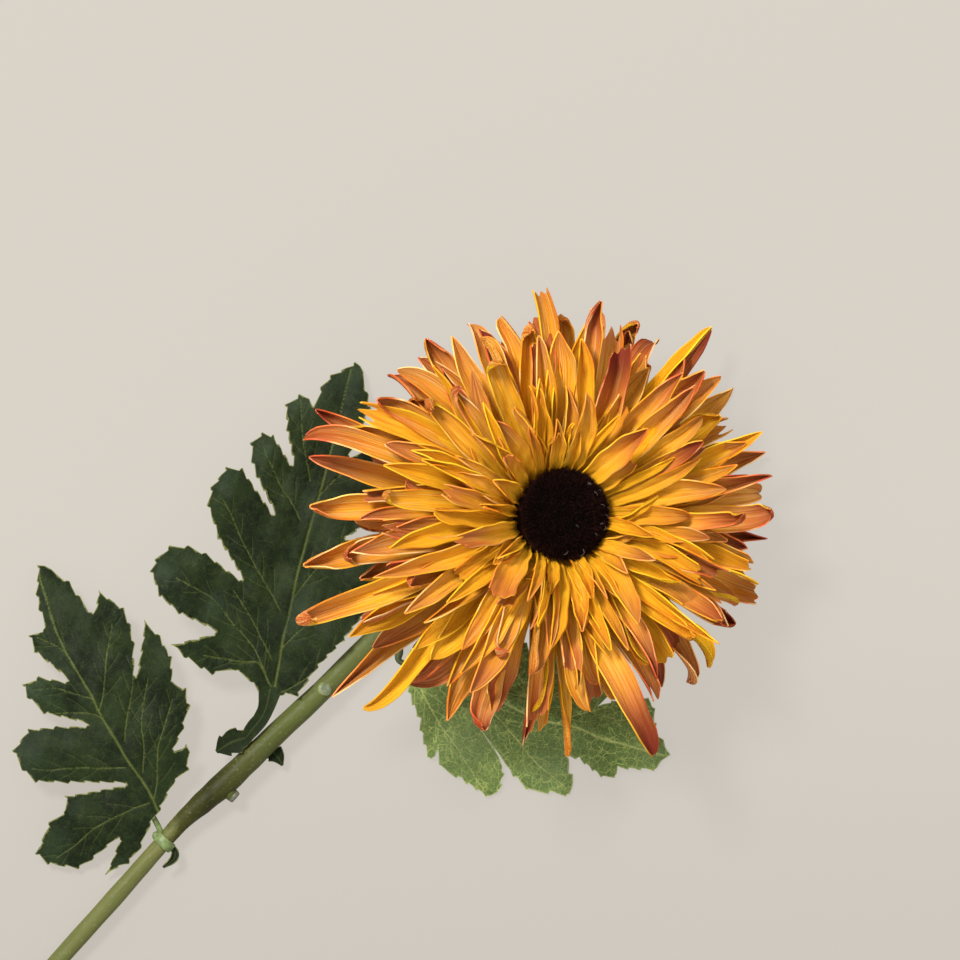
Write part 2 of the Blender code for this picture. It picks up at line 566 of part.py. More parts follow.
def build_stem(parts, spare):
    """Stem with its bend under the bloom and its pegs."""
    stem = curve_tube("stem", smooth_route(STEM_ROUTE + (stem_top(),), 3), STEM_SIDES, parts)
    for name, (place, direction, length, (foot_radius, end_radius)) in PEGS.items():
        peg = bmesh.new()
        bmesh.ops.create_cone(peg, cap_ends=True, segments=10, radius1=foot_radius,
                              radius2=end_radius, depth=length)
        frame = facing(place + direction.normalized() * 0.5 * length, direction)
        bmesh.ops.transform(peg, matrix=frame, verts=peg.verts)
        object_from_bmesh(name, peg, spare)
    combine(stem, spare)
    keep_main_body(stem)
    finish(stem, STEM_LOOK)


def leaf_height(leaf, along, across):
    """Height of a leaf's underside: arched along, falling or rising to its sides, and waved."""
    share = min(max(along / leaf["length"], -0.1), 1.05)
    base, middle, tip = leaf["height"]
    arch = base * (1 - share) ** 2 + 2 * (2 * middle - 0.5 * (base + tip)) * share * (1 - share) \
        + tip * share ** 2
    wave = leaf["wave"] * math.sin(along * 0.33 + across * 0.12) * min(1.0, abs(across) / 10.0)
    height = max(0.0, arch - leaf["fall"] * abs(across) + wave)
    if leaf["rests"]:
        spot_along, spot_across, radius, ease = REST_SPOT
        away = math.hypot(along - spot_along, across - spot_across) - radius
        height *= min(max(away / ease, 0.0), 1.0)
    return height


def leaf_to_plan(leaf, along, across):
    """Plan X and Y of a place on a leaf."""
    heading = math.radians(leaf["heading"])
    x = leaf["base"][0] + along * math.cos(heading) + across * math.sin(heading)
    y = leaf["base"][1] + along * math.sin(heading) - across * math.cos(heading)
    return x, y


def toothed(outline):
    """Outline with a small tooth on each stretch that is long enough for one."""
    points = []
    closed = list(outline) + [outline[0]]
    for (a, b), (c, d) in zip(closed, closed[1:]):
        points.append((a, b))
        span = math.hypot(c - a, d - b)
        teeth = int(span / TOOTH_SPACING)
        for tooth in range(teeth):
            share = (tooth + TOOTH_PLACE) / teeth
            out = TOOTH_DEPTH / span
            points.append((a + (c - a) * share - (d - b) * out, b + (d - b) * share + (c - a) * out))
    return points


def build_leaf(name, leaf, look, parts):
    """Thin blade in the leaf's toothed outline, split alike above and below."""
    edge = [Vector(point) for point in toothed(leaf["outline"])]
    corners = list(edge)
    for row in range(int(leaf["length"] / LEAF_GRID) + 1):
        for column in range(-LEAF_COLUMNS, LEAF_COLUMNS + 1):
            inner = Vector(((row + 0.5 * (column % 2)) * LEAF_GRID, column * LEAF_GRID))
            near = min((inner - point).length for point in edge)
            if near > (0.5 if column else 0.2) * LEAF_GRID:
                corners.append(inner)
    ring = list(range(len(edge)))
    places, _, triangles, *_ = delaunay_2d_cdt(corners, [], [ring], 1, 0.01)
    blade = bmesh.new()
    under = []
    for place in places:
        x, y = leaf_to_plan(leaf, place.x, place.y)
        under.append(blade.verts.new((x, y, leaf_height(leaf, place.x, place.y))))
    for triangle in triangles:
        blade.faces.new([under[index] for index in triangle])
    bmesh.ops.delete(blade, geom=[v for v in blade.verts if not v.link_faces], context="VERTS")
    raised = bmesh.ops.extrude_face_region(blade, geom=blade.faces[:])["geom"]
    tops = [item for item in raised if isinstance(item, bmesh.types.BMVert)]
    bmesh.ops.translate(blade, vec=(0.0, 0.0, LEAF_THICKNESS), verts=tops)
    bmesh.ops.triangulate(blade, faces=blade.faces[:])
    finish(object_from_bmesh(name, blade, parts), look)


def rib_route(leaf, end_share):
    """Stalk under a leaf's middle, GAP below the blade and clear of the surface."""
    route = []
    for step in range(RIB_STATIONS + 1):
        share = step / RIB_STATIONS
        radius = RIB_RADIUS[0] + (RIB_RADIUS[1] - RIB_RADIUS[0]) * share
        along = share * end_share * leaf["length"]
        x, y = leaf_to_plan(leaf, along, 0.0)
        route.append((x, y, leaf_height(leaf, along, 0.0) - GAP - radius - 0.05, radius))
    return route


def build_stalk(name, leaf, peg, parts, spare, stipule=None):
    """Leaf stalk from the end of its peg to its rib under the blade, with its stipule."""
    place, direction, length, (_, end_radius) = PEGS[peg]
    foot = place + direction.normalized() * (length + GAP)
    ahead = foot + direction.normalized() * PEG_LEAD
    route = [(*ahead, end_radius), STALK_BEND[peg]] + rib_route(leaf, RIB_SHARE[peg])
    route = [(*foot, end_radius)] + smooth_route(route, 2)
    stalk = curve_tube(name, route, 8, parts)
    if stipule:
        stipule_object(name + "_stipule", stipule, spare)
        combine(stalk, spare)
        keep_main_body(stalk)
    finish(stalk, GREEN_LOOK)


def stipule_object(name, stipule, collection):
    """Small pointed leaflet from its root to its tip, as a flat toothed blade."""
    root, tip, width = Vector(stipule[0]), Vector(stipule[1]), stipule[2]
    ahead = tip - root
    side = Vector((-ahead.y, ahead.x, 0.0)).normalized() * width * 0.5
    shape = bmesh.new()
    base = [shape.verts.new(root + ahead * along + side * across) for along, across in STIPULE_FORM]
    face = shape.faces.new(base)
    bmesh.ops.triangulate(shape, faces=[face])
    raised = bmesh.ops.extrude_face_region(shape, geom=shape.faces[:])["geom"]
    tops = [item for item in raised if isinstance(item, bmesh.types.BMVert)]
    bmesh.ops.translate(shape, vec=(0.0, 0.0, LEAF_THICKNESS), verts=tops)
    bmesh.ops.triangulate(shape, faces=shape.faces[:])
    object_from_bmesh(name, shape, collection)


def build_collar(parts, spare):
    """Light green collar round the stem, with the lower leaf's stalk and a curled stipule."""
    place, along, stem_radius, wall, length = COLLAR
    frame = facing(place, along)
    outer = bmesh.new()
    outer_radius = stem_radius + GAP + wall
    bmesh.ops.create_cone(outer, cap_ends=True, segments=16, radius1=outer_radius,
                          radius2=outer_radius, depth=length)
    bmesh.ops.transform(outer, matrix=frame, verts=outer.verts)
    collar = object_from_bmesh("lower_leaf_stalk", outer, parts)
    route = list(COLLAR_FOOT) + rib_route(LOWER_LEAF, RIB_SHARE["lower"])
    curve_tube("lower_rib", smooth_route(route, 2), 8, spare)
    stipule_object("lower_stipule", LOWER_STIPULE, spare)
    combine(collar, spare)
    bore = bmesh.new()
    bmesh.ops.create_cone(bore, cap_ends=True, segments=16, radius1=stem_radius + GAP,
                          radius2=stem_radius + GAP, depth=3.0 * length)
    bmesh.ops.transform(bore, matrix=frame, verts=bore.verts)
    cutter = object_from_bmesh("collar_bore", bore, spare)
    cutter.display_type = "WIRE"
    cutter.hide_render = True
    combine(collar, spare, operation="DIFFERENCE")
    keep_main_body(collar)
    finish(collar, COLLAR_LOOK)


def centre_on_surface(parts):
    """Move every piece so that the whole stands on Z = 0 with its box's middle at the origin."""
    corners = [vert.co for item in parts.objects for vert in item.data.vertices]
    low = Vector(min(corner[axis] for corner in corners) for axis in range(3))
    high = Vector(max(corner[axis] for corner in corners) for axis in range(3))
    shift = Vector((-0.5 * (low.x + high.x), -0.5 * (low.y + high.y), -low.z))
    for item in parts.objects:
        item.data.transform(Matrix.Translation(shift))


def build():
    """Model the whole flower."""
    clear_scene()
    parts = bpy.data.collections.new("chrysanthemum")
    spare = bpy.data.collections.new("cutters_and_repeats")
    bpy.context.scene.collection.children.link(parts)
    bpy.context.scene.collection.children.link(spare)
    build_bloom(parts, spare)
    build_disc(parts)
    build_calyx(parts, spare)
    build_stem(parts, spare)
    build_leaf("lower_leaf", LOWER_LEAF, DARK_LEAF_LOOK, parts)
    build_leaf("middle_leaf", MIDDLE_LEAF, DARK_LEAF_LOOK, parts)
    build_leaf("upper_leaf", UPPER_LEAF, PALE_LEAF_LOOK, parts)
    build_collar(parts, spare)
    build_stalk("middle_leaf_stalk", MIDDLE_LEAF, "middle", parts, spare, MIDDLE_STIPULE)
    build_stalk("upper_leaf_stalk", UPPER_LEAF, "upper", parts, spare)
    centre_on_surface(parts)


build()
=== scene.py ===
"""Looks of a cut chrysanthemum lying on a pale surface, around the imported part.

Cloth petals with ribs, yellow cut edges and red tips stand round a flocked disc. The three leaves
are veined cloth, and the stem, collar, calyx and stalks are moulded plastic. Sizes are
millimetres in the flower's plan, seen from above, until a mesh is seated in the part's frame.
"""

from __future__ import annotations

import json
import logging
import math
import random
from dataclasses import dataclass
from enum import Enum
from functools import partial
from typing import Callable, Sequence

import bpy
import numpy as np
from mathutils import Matrix, Vector
from mathutils.geometry import delaunay_2d_cdt

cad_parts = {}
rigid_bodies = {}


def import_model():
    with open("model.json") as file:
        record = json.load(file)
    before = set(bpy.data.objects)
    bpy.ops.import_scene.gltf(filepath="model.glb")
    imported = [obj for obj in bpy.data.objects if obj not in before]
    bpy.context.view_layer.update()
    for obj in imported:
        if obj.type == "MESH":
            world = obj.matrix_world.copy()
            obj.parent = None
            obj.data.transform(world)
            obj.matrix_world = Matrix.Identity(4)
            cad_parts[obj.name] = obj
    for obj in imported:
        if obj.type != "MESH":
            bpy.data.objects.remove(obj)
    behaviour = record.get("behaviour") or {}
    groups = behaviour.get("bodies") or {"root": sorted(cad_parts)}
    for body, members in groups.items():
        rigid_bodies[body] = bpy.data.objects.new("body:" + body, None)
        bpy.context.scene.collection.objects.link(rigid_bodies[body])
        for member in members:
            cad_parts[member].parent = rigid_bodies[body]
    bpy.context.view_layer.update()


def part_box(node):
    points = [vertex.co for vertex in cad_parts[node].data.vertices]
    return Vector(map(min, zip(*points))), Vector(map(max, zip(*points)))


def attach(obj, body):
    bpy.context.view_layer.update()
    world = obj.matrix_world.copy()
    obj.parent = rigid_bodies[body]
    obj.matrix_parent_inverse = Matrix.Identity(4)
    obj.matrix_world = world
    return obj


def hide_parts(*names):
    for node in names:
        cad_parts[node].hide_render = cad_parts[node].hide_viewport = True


for startup_object in list(bpy.data.objects):
    bpy.data.objects.remove(startup_object, do_unlink=True)
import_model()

LOG = logging.getLogger("chrysanthemum")
MM = 0.001
# One whole turn, in radians.
TURN = 2.0 * math.pi
Array = np.ndarray
Piece = bpy.types.Object
Material = bpy.types.Material
Socket = bpy.types.NodeSocket
Colour = Point = tuple[float, float, float]
# A ramp's stops: place, red, green and blue. A route's stations: X, Y, Z and radius.
Stops = Route = Sequence[tuple[float, float, float, float]]
Places = tuple[tuple[float, ...], ...]


def read(text: str) -> Places:
    """Places written with spaces between them and commas between a place's numbers."""
    return tuple(tuple(map(float, place.split(","))) for place in text.split())


# Shader maths


def operator(operation: str, reflected: bool = False) -> Callable[[Number, Value], Number]:
    """Operator that adds a Math node; reflected where a plain number stands first."""

    def method(self: Number, other: Value) -> Number:
        """Result of the operation."""
        values = (other, self) if reflected else (self, other)
        return self.sheet.number("Math", {"operation": operation}, dict(enumerate(values)))

    return method


class Number:
    """One number in a shader: a socket whose sums and products are Math nodes."""

    def __init__(self, sheet: Sheet, socket: Socket) -> None:
        """Wrap a socket of the sheet's node tree."""
        self.sheet, self.socket = sheet, socket

    __add__, __radd__ = operator("ADD"), operator("ADD", True)
    __sub__, __rsub__ = operator("SUBTRACT"), operator("SUBTRACT", True)
    __mul__, __rmul__ = operator("MULTIPLY"), operator("MULTIPLY", True)

    def __abs__(self) -> Number:
        """Absolute value."""
        return self.sheet.number("Math", {"operation": "ABSOLUTE"}, {0: self})

    def ramp(self, low: float, high: float, out_low: float = 0.0, out_high: float = 1.0) -> Number:
        """Ease from out_low to out_high as this number goes from low to high."""
        return self.sheet.number("MapRange", {"interpolation_type": "SMOOTHSTEP"},
                                 {0: self, 1: low, 2: high, 3: out_low, 4: out_high})


Value = Number | float


class Sheet:
    """A material's node tree, with the colour mixed so far and the places it can be read at."""

    def __init__(self, name: str, colour: object = None) -> None:
        """Make the material."""
        self.material = bpy.data.materials.new(name)
        self.material.use_nodes = True
        self.tree = self.material.node_tree
        self.colour = colour
        places = self.node("TexCoord").outputs
        self.place, self.uv = places["Object"], places["UV"]
        self.across, self.along, _ = self.parts(self.uv)

    def node(self, kind: str, settings: dict | None = None,
             sockets: dict | None = None) -> bpy.types.Node:
        """Add a node.

        Args:
            kind: the node's type, without its ShaderNode.
            settings: its settings, set before its sockets.
            sockets: values or links for its inputs, by index or name.

        Returns:
            The node.
        """
        made = self.tree.nodes.new("ShaderNode" + kind)
        for key, value in (settings or {}).items():
            setattr(made, key, value)
        for key, value in (sockets or {}).items():
            self.feed(made.inputs[key], value)
        return made

    def feed(self, target: Socket, value: object) -> None:
        """Link a Number or a socket to an input, or set it to a colour, vector or number."""
        source = value.socket if isinstance(value, Number) else value
        if isinstance(source, Socket):
            self.tree.links.new(source, target)
        else:
            target.default_value = (*source, 1.0) if target.type == "RGBA" else source

    def number(self, kind: str, settings: dict | None = None, sockets: dict | None = None,
               out: int | str = 0) -> Number:
        """Add a node and wrap one of its outputs as a number."""
        return Number(self, self.node(kind, settings, sockets).outputs[out])

    def parts(self, place: Socket) -> list[Number]:
        """Three numbers of a vector."""
        return [Number(self, part) for part in self.node("SeparateXYZ", None, {0: place}).outputs]

    def blend(self, share: Value, base: object, over: object, way: str = "MIX") -> Socket:
        """Blend two colours; share is how much of the second one shows."""
        return self.node("Mix", {"data_type": "RGBA", "blend_type": way},
                         {0: share, 6: base, 7: over}).outputs[2]

    def cover(self, share: Value, over: object, way: str = "MIX") -> None:
        """Blend another colour over the sheet's."""
        self.colour = self.blend(share, self.colour, over, way)

    def colour_ramp(self, place: Number, stops: Stops) -> Socket:
        """Colour read along a ramp."""
        made = self.node("ValToRGB", None, {0: place})
        for _ in stops[2:]:
            made.color_ramp.elements.new(1.0)
        for element, (position, *colour) in zip(made.color_ramp.elements, stops):
            element.position, element.color = position, (*colour, 1.0)
        return made.outputs[0]

    def carried(self, name: str) -> Number:
        """A number that the mesh carries at its vertices."""
        return self.number("Attribute", {"attribute_name": name}, out="Fac")

    def vector(self, *numbers: Value) -> Socket:
        """Vector of three numbers."""
        return self.node("CombineXYZ", None, dict(enumerate(numbers))).outputs[0]

    def noise(self, place: Socket, scale: float, detail: float = 2.0, roughness: float = 0.5,
              out: int | str = 0) -> Number:
        """Noise between about 0.25 and 0.75."""
        return self.number("TexNoise", None, {"Vector": place, "Scale": scale, "Detail": detail,
                                              "Roughness": roughness}, out)

    def mottle(self, scale: float, detail: float, low: float, high: float) -> Number:
        """Noise on the piece, eased from 0 at low to 1 at high."""
        return self.noise(self.place, scale, detail).ramp(low, high)

    def net(self, place: Socket, scale: float, line: float) -> Number:
        """Lines round a net of cells."""
        return 1.0 - self.number("TexVoronoi", {"feature": "DISTANCE_TO_EDGE"},
                                 {"Vector": place, "Scale": scale}).ramp(0.0, line)

    def relief(self, height: Number, depth: float, strength: float = 1.0) -> None:
        """Feed a bump to the shader: a height of 0 to 1, its depth in metres, how much shows."""
        bump = self.node("Bump", None, {"Strength": strength, "Distance": depth, "Height": height})
        self.feed(self.tree.nodes["Principled BSDF"].inputs["Normal"], bump.outputs[0])

    def dress(self, roughness: Value, specular: float = 0.5, **fixed: object) -> Material:
        """Feed the shader the sheet's colour and other inputs, by name with _ for a space."""
        inputs = self.tree.nodes["Principled BSDF"].inputs
        for key, value in {"Base Color": self.colour, "Roughness": roughness,
                           "Specular IOR Level": specular, **fixed}.items():
            self.feed(inputs[key.replace("_", " ")], value)
        return self.material


# Modelling bench

Step = Callable[[], object]
WELD: Step = partial(bpy.ops.mesh.remove_doubles, threshold=1e-4)
TURN_OUT: Step = partial(bpy.ops.mesh.normals_make_consistent, inside=False)
SELECT_ALL: Step = partial(bpy.ops.mesh.select_all, action="SELECT")


def pick(*pieces: Piece) -> None:
    """Leave edit mode and select only these pieces, the first of them active."""
    if bpy.context.object and bpy.context.object.mode != "OBJECT":
        bpy.ops.object.mode_set(mode="OBJECT")
    bpy.ops.object.select_all(action="DESELECT")
    for piece in pieces:
        piece.select_set(True)
    if pieces:
        bpy.context.view_layer.objects.active = pieces[0]


def rename(piece: Piece, name: str) -> Piece:
    """Name a piece and its mesh."""
    piece.name = piece.data.name = name
    return piece


def added(name: str, operation: Callable[..., object], **settings: object) -> Piece:
    """Add a primitive at the origin or at its location, and apply where it stands."""
    pick()
    operation(**{"location": (0.0, 0.0, 0.0), **settings})
    bpy.ops.object.transform_apply(location=True, rotation=True, scale=True)
    return rename(bpy.context.object, name)


def grid(name: str, columns: int, rows: int) -> Piece:
    """Flat blank from -1 to 1 both ways, with a UV map."""
    return added(name, bpy.ops.mesh.primitive_grid_add, x_subdivisions=columns,
                 y_subdivisions=rows, size=2.0)


def linked(name: str, mesh: bpy.types.Mesh) -> Piece:
    """Piece of a ready mesh."""
    made = bpy.data.objects.new(name, mesh)
    bpy.context.scene.collection.objects.link(made)
    return made


def meshed(name: str, points: Array, faces: list[list[int]]) -> Piece:
    """Piece of points and faces."""
    mesh = bpy.data.meshes.new(name)
    mesh.from_pydata(points.tolist(), [], faces)
    return linked(name, mesh)


def modified(piece: Piece, kind: str, **settings: object) -> None:
    """Add a modifier and apply it."""
    pick(piece)
    modifier = piece.modifiers.new(kind.lower(), kind)
    for key, value in settings.items():
        setattr(modifier, key, value)
    bpy.ops.object.modifier_apply(modifier=modifier.name)


def edit(piece: Piece, *steps: Step) -> None:
    """Run edit-mode steps on the whole of a piece."""
    pick(piece)
    bpy.ops.object.mode_set(mode="EDIT")
    for step in (SELECT_ALL, *steps):
        step()
    bpy.ops.object.mode_set(mode="OBJECT")


def face_up(piece: Piece, *steps: Step) -> None:
    """Turn all of a sheet's faces up, after other steps."""
    edit(piece, *steps, TURN_OUT)
    if sum(face.normal.z for face in piece.data.polygons) < 0.0:
        edit(piece, bpy.ops.mesh.flip_normals)


def joined(name: str, pieces: Sequence[Piece]) -> Piece:
    """Join pieces into one."""
    pick(*pieces)
    bpy.ops.object.join()
    return rename(bpy.context.object, name)


def corners(piece: Piece) -> Array:
    """Places of a mesh's vertices."""
    places = np.empty(len(piece.data.vertices) * 3)
    piece.data.vertices.foreach_get("co", places)
    return places.reshape(-1, 3)


def reshape(piece: Piece, places: Array) -> None:
    """Move a mesh's vertices to new places."""
    piece.data.vertices.foreach_set("co", np.ascontiguousarray(places, np.float32).ravel())
    piece.data.update()


def carry(piece: Piece, **numbers: Array | float) -> None:
    """Store numbers at each vertex, for the materials to read."""
    for name, values in numbers.items():
        layer = piece.data.attributes.new(name, "FLOAT", "POINT")
        layer.data.foreach_set("value", np.broadcast_to(values, len(layer.data)).astype(np.float32))


def thickened(piece: Piece, finish: Sequence[Material], thickness: float) -> None:
    """Give a sheet of cloth its face, back and cut edge."""
    for material in finish:
        piece.data.materials.append(material)
    modified(piece, "SOLIDIFY", thickness=thickness, offset=0.0, material_offset=1,
             material_offset_rim=2)


def eased(share: Array | float, low: float, high: float) -> Array:
    """Smooth step from 0 at low to 1 at high."""
    t = np.clip((share - low) / (high - low), 0.0, 1.0)
    return t * t * (3.0 - 2.0 * t)


def unit(ways: Array) -> Array:
    """Directions of length 1."""
    return ways / np.linalg.norm(ways, axis=-1, keepdims=True)


@dataclass(frozen=True)
class Plan:
    """The flower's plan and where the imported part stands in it.

    Two leaf tips tie them: the upper leaf's reaches furthest to the right, and the middle
    leaf's furthest up.
    """

    upper_tip_x: float = 47.753
    middle_tip_y: float = 29.551

    def seated(self, places: Array) -> Array:
        """Places of the plan, in millimetres, in the part's frame."""
        return (places + np.array((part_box("upper_leaf")[1].x / MM - self.upper_tip_x,
                                   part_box("middle_leaf")[1].y / MM - self.middle_tip_y, 0.0))) * MM


PLAN = Plan()


def finished(piece: Piece, slot: str, *nodes: str, finish: Material | None = None,
             angle_deg: float = 60.0) -> None:
    """Seat and smooth a piece, give it its finish and body, and hide the nodes that it replaces.

    Args:
        piece: the piece, in the plan.
        slot: the record's material slot; not used.
        nodes: the nodes that the piece replaces.
        finish: its material; none where it already has its materials.
        angle_deg: sharpest angle that is shaded smooth; 0 leaves the shading as it is.
    """
    reshape(piece, PLAN.seated(corners(piece)))
    if angle_deg:
        pick(piece)
        bpy.ops.object.shade_smooth_by_angle(angle=math.radians(angle_deg))
    if finish:
        piece.data.materials.clear()
        piece.data.materials.append(finish)
    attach(piece, "root")
    if nodes:
        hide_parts(*nodes)
    LOG.info("%s: %d faces", piece.name, len(piece.data.polygons))


def smooth_route(route: Route, steps: int) -> list[tuple[float, ...]]:
    """Points of a smooth curve through a route.

    Args:
        route: its stations.
        steps: points from each station to the next.

    Returns:
        The points, the last station among them.
    """
    ends = [route[0], *route, route[-1]]
    points = []
    for before, start, end, after in zip(ends, ends[1:], ends[2:], ends[3:]):
        for t in (step / steps for step in range(steps)):
            points.append(tuple(
                0.5 * (2 * q + (r - p) * t + (2 * p - 5 * q + 4 * r - s) * t * t
                       + (3 * q - p - 3 * r + s) * t ** 3)
                for p, q, r, s in zip(before, start, end, after)))
    return [*points, tuple(route[-1])]


def tube(name: str, route: Route, sides: int,
         swell: Callable[[Array, Array], Array | float] = lambda turn, share: 0.0) -> Piece:
    """Closed tube along a route, wrapped from a flat blank.

    Args:
        name: the piece's name.
        route: its stations.
        sides: faces round it.
        swell: share added to the radius, from the turn in radians and the share of the length.

    Returns:
        The tube, in the plan; its UV runs round and along it, the latter in tenths of a metre.
    """
    stations = np.array(route)
    rows = len(stations) - 1
    piece = grid(name, sides, rows)
    flat = corners(piece)
    turn, share = (flat[:, 0] + 1.0) * math.pi, (flat[:, 1] + 1.0) / 2.0
    tangent = unit(np.gradient(stations[:, :3], axis=0))
    side = unit(np.cross(tangent, (0.0, 0.0, 1.0) if abs(tangent[0, 2]) < 0.9 else (0.0, 1.0, 0.0)))
    rise = np.cross(side, tangent)
    row = np.rint(share * rows).astype(int)
    radius = stations[row, 3] * (1.0 + swell(turn, share))
    reshape(piece, stations[row, :3] + (side[row] * (np.cos(turn) * radius)[:, None]
                                        + rise[row] * (np.sin(turn) * radius)[:, None]))
    layer = piece.data.uv_layers.active.data
    uv = np.empty(len(layer) * 2)
    layer.foreach_get("uv", uv)
    uv[1::2] *= np.linalg.norm(np.diff(stations[:, :3], axis=0), axis=1).sum() / 100.0
    layer.foreach_set("uv", uv)
    edit(piece, WELD, partial(bpy.ops.mesh.fill_holes, sides=0), TURN_OUT)
    return piece


# Finishes


@dataclass(frozen=True)
class PetalCloth:
    """Printed petal cloth: gold at the root, orange along, red at the tip, with yellow edges, and
    painted highlights and shade on its ribs and at its root.
    """

    stops: Stops = (
        (0.0, 0.72, 0.35, 0.005), (0.15, 0.94, 0.50, 0.007), (0.38, 0.95, 0.43, 0.010),
        (0.55, 0.96, 0.38, 0.034), (0.70, 0.97, 0.30, 0.085), (0.85, 0.82, 0.12, 0.056),
        (1.0, 0.30, 0.020, 0.016))
    edge: Colour = (0.94, 0.58, 0.02)
    pale: Colour = (0.96, 0.62, 0.25)
    gold: Colour = (0.95, 0.60, 0.02)
    streak: Colour = (0.66, 0.11, 0.006)
    dusk: Colour = (0.22, 0.070, 0.005)
    back_gold: Colour = (0.86, 0.44, 0.015)
    back_dark: Colour = (0.20, 0.022, 0.012)
    root_shade: Colour = (0.16, 0.05, 0.004)
    inner_deep: Colour = (0.52, 0.15, 0.004)
    # Painted shade of the core between the petals' roots, and its lighter mottle.
    bed_shade: Colour = (0.012, 0.004, 0.002)
    bed_shade_mottle: Colour = (0.05, 0.015, 0.003)
    grain_per_metre: float = 2600.0
    flecks_per_metre: float = 1800.0
    weave_depth: float = 0.00009
    # Where the grain is darkest and where it leaves the colour as it is.
    grain_stops: Stops = ((0.34, 0.70, 0.56, 0.40), (0.60, 1.0, 1.0, 1.0))

    def _print(self, name: str) -> tuple[Sheet, Number, Number, Number]:
        """Lengthwise print shared by the cloth's sides, with painted shade at the root and on the
        petals that lie in shadow.

        Args:
            name: the material's name.

        Returns:
            Its sheet, the place across the petal from -1 to 1, the grain and the pleats.
        """
        sheet = Sheet(name)
        along, across = sheet.along, sheet.across * 2.0 - 1.0
        tone, blush, ring = map(sheet.carried, ("tone", "blush", "ring"))
        wide = sheet.noise(sheet.vector(across * 2.6 + tone * 40.0, along * 1.5, tone * 17.0), 1.5)
        fine = sheet.noise(sheet.vector(across * 10.0 + tone * 70.0, along * 1.1, tone * 9.0),
                           1.6, 3.0, 0.7)
        cloud = sheet.noise(sheet.place, 150.0)
        sheet.colour = sheet.colour_ramp(
            along * (0.24 + blush * 0.72) + blush * 0.06 + (wide - 0.5) * 0.60
            + (cloud - 0.5) * 0.36 + (tone - 0.5) * 0.16 - ring * 0.012, self.stops)
        pale = sheet.carried("pale") * 0.75 + ring * 0.17
        sheet.cover(fine.ramp(0.50, 0.62) * (0.30 + pale) * along.ramp(0.05, 0.4),
                    sheet.blend(blush.ramp(0.2, 0.6), self.gold, self.pale))
        sheet.cover((1.0 - fine).ramp(0.50, 0.62) * 0.74, self.streak)
        # Brown over the petal by its share of brown: partly the cloth's brown dye, partly painted
        # shade on petals that lie in shadow under others.
        sheet.cover(sheet.carried("dusk") * wide.ramp(0.30, 0.62, 0.35, 1.0), self.dusk)
        sheet.cover(ring.ramp(0.3, 3.0, 0.42, 0.0), self.inner_deep)
        # Painted shade: dark brown over the first fifth of each petal, where the petals crowd at the
        # root.
        sheet.cover(along.ramp(0.0, 0.22, 0.72, 0.0), self.root_shade)
        grain = sheet.noise(sheet.place, self.grain_per_metre, 2.0, 0.7)
        return sheet, across, grain, fine

    def face(self) -> Material:
        """Upper side."""
        sheet, across, grain, pleat = self._print("petal cloth")
        along, rib, gild = sheet.along, sheet.carried("rib"), sheet.carried("gild")
        # Painted highlight: pale colour along the crests of the ribs.
        sheet.cover(rib.ramp(0.55, 1.0) * along.ramp(0.05, 0.5) * 0.35, self.pale)
        # Painted shade: streak colour in the valleys between the ribs and along the middle fold.
        crease = (1.0 - rib).ramp(0.7, 1.0) * 0.42 + abs(across).ramp(0.0, 0.10, 0.32, 0.0)
        sheet.cover(crease * along.ramp(0.05, 0.3), self.streak)
        edge = abs(across) + (pleat - 0.5) * 0.3 + gild * 0.16
        sheet.cover(edge.ramp(0.68, 1.04) * gild.ramp(0.1, 0.9), self.edge)
        sheet.cover(sheet.mottle(self.flecks_per_metre, 1.0, 0.56, 0.66) * 0.48, self.streak)
        sheet.cover(1.0, sheet.colour_ramp(grain, self.grain_stops), "MULTIPLY")
        sheet.relief(grain * 0.5 + pleat * 2.8, self.weave_depth * 3.0)
        return sheet.dress(0.7, 0.08)

    def back(self) -> Material:
        """Under side, gold that darkens to maroon at the tip."""
        sheet, _, grain, pleat = self._print("petal cloth back")
        sheet.cover(sheet.along.ramp(0.0, 0.9, 0.7, 0.25), self.back_gold)
        sheet.cover(sheet.along.ramp(0.35, 1.0) * sheet.carried("blush") * 0.8, self.back_dark)
        sheet.relief(grain * 0.35 + pleat * 1.6, self.weave_depth * 3.0, 0.8)
        return sheet.dress(0.75, 0.15)

    def cut_edge(self) -> Material:
        """Cut edge, bright yellow where the dye stops short."""
        sheet, _, grain, _ = self._print("petal cloth edge")
        gild = sheet.carried("gild").ramp(0.45, 1.0)
        sheet.cover(gild * sheet.along.ramp(0.75, 1.1, 0.62, 0.3), self.edge)
        sheet.relief(grain, self.weave_depth)
        return sheet.dress(0.75, 0.15)

    def bed(self) -> Material:
        """Core between the petals' roots, nearly black: painted shade for the deep gap between the
        disc and the petals.
        """
        sheet = Sheet("petal bed", self.bed_shade)
        sheet.cover(sheet.mottle(500.0, 3.0, 0.35, 0.7), self.bed_shade_mottle)
        return sheet.dress(0.9, 0.1)


@dataclass(frozen=True)
class DiscFlock:
    """Short near-black pile, a little redder and lighter at its ends."""

    root: Colour = (0.0020, 0.0007, 0.0006)
    end: Colour = (0.12, 0.036, 0.024)
    thread: Colour = (0.34, 0.31, 0.27)
    thread_dark: Colour = (0.12, 0.10, 0.09)

    def pile(self) -> Material:
        """The pile and the dome under it."""
        sheet = Sheet("disc flock", self.root)
        sheet.cover(sheet.carried("reach") * sheet.carried("tone"), self.end)
        return sheet.dress(0.95, 0.08)

    def lint(self) -> Material:
        """Pale threads caught in the pile."""
        sheet = Sheet("disc lint", self.thread)
        sheet.cover(sheet.noise(sheet.place, 900.0), self.thread_dark)
        return sheet.dress(0.5)


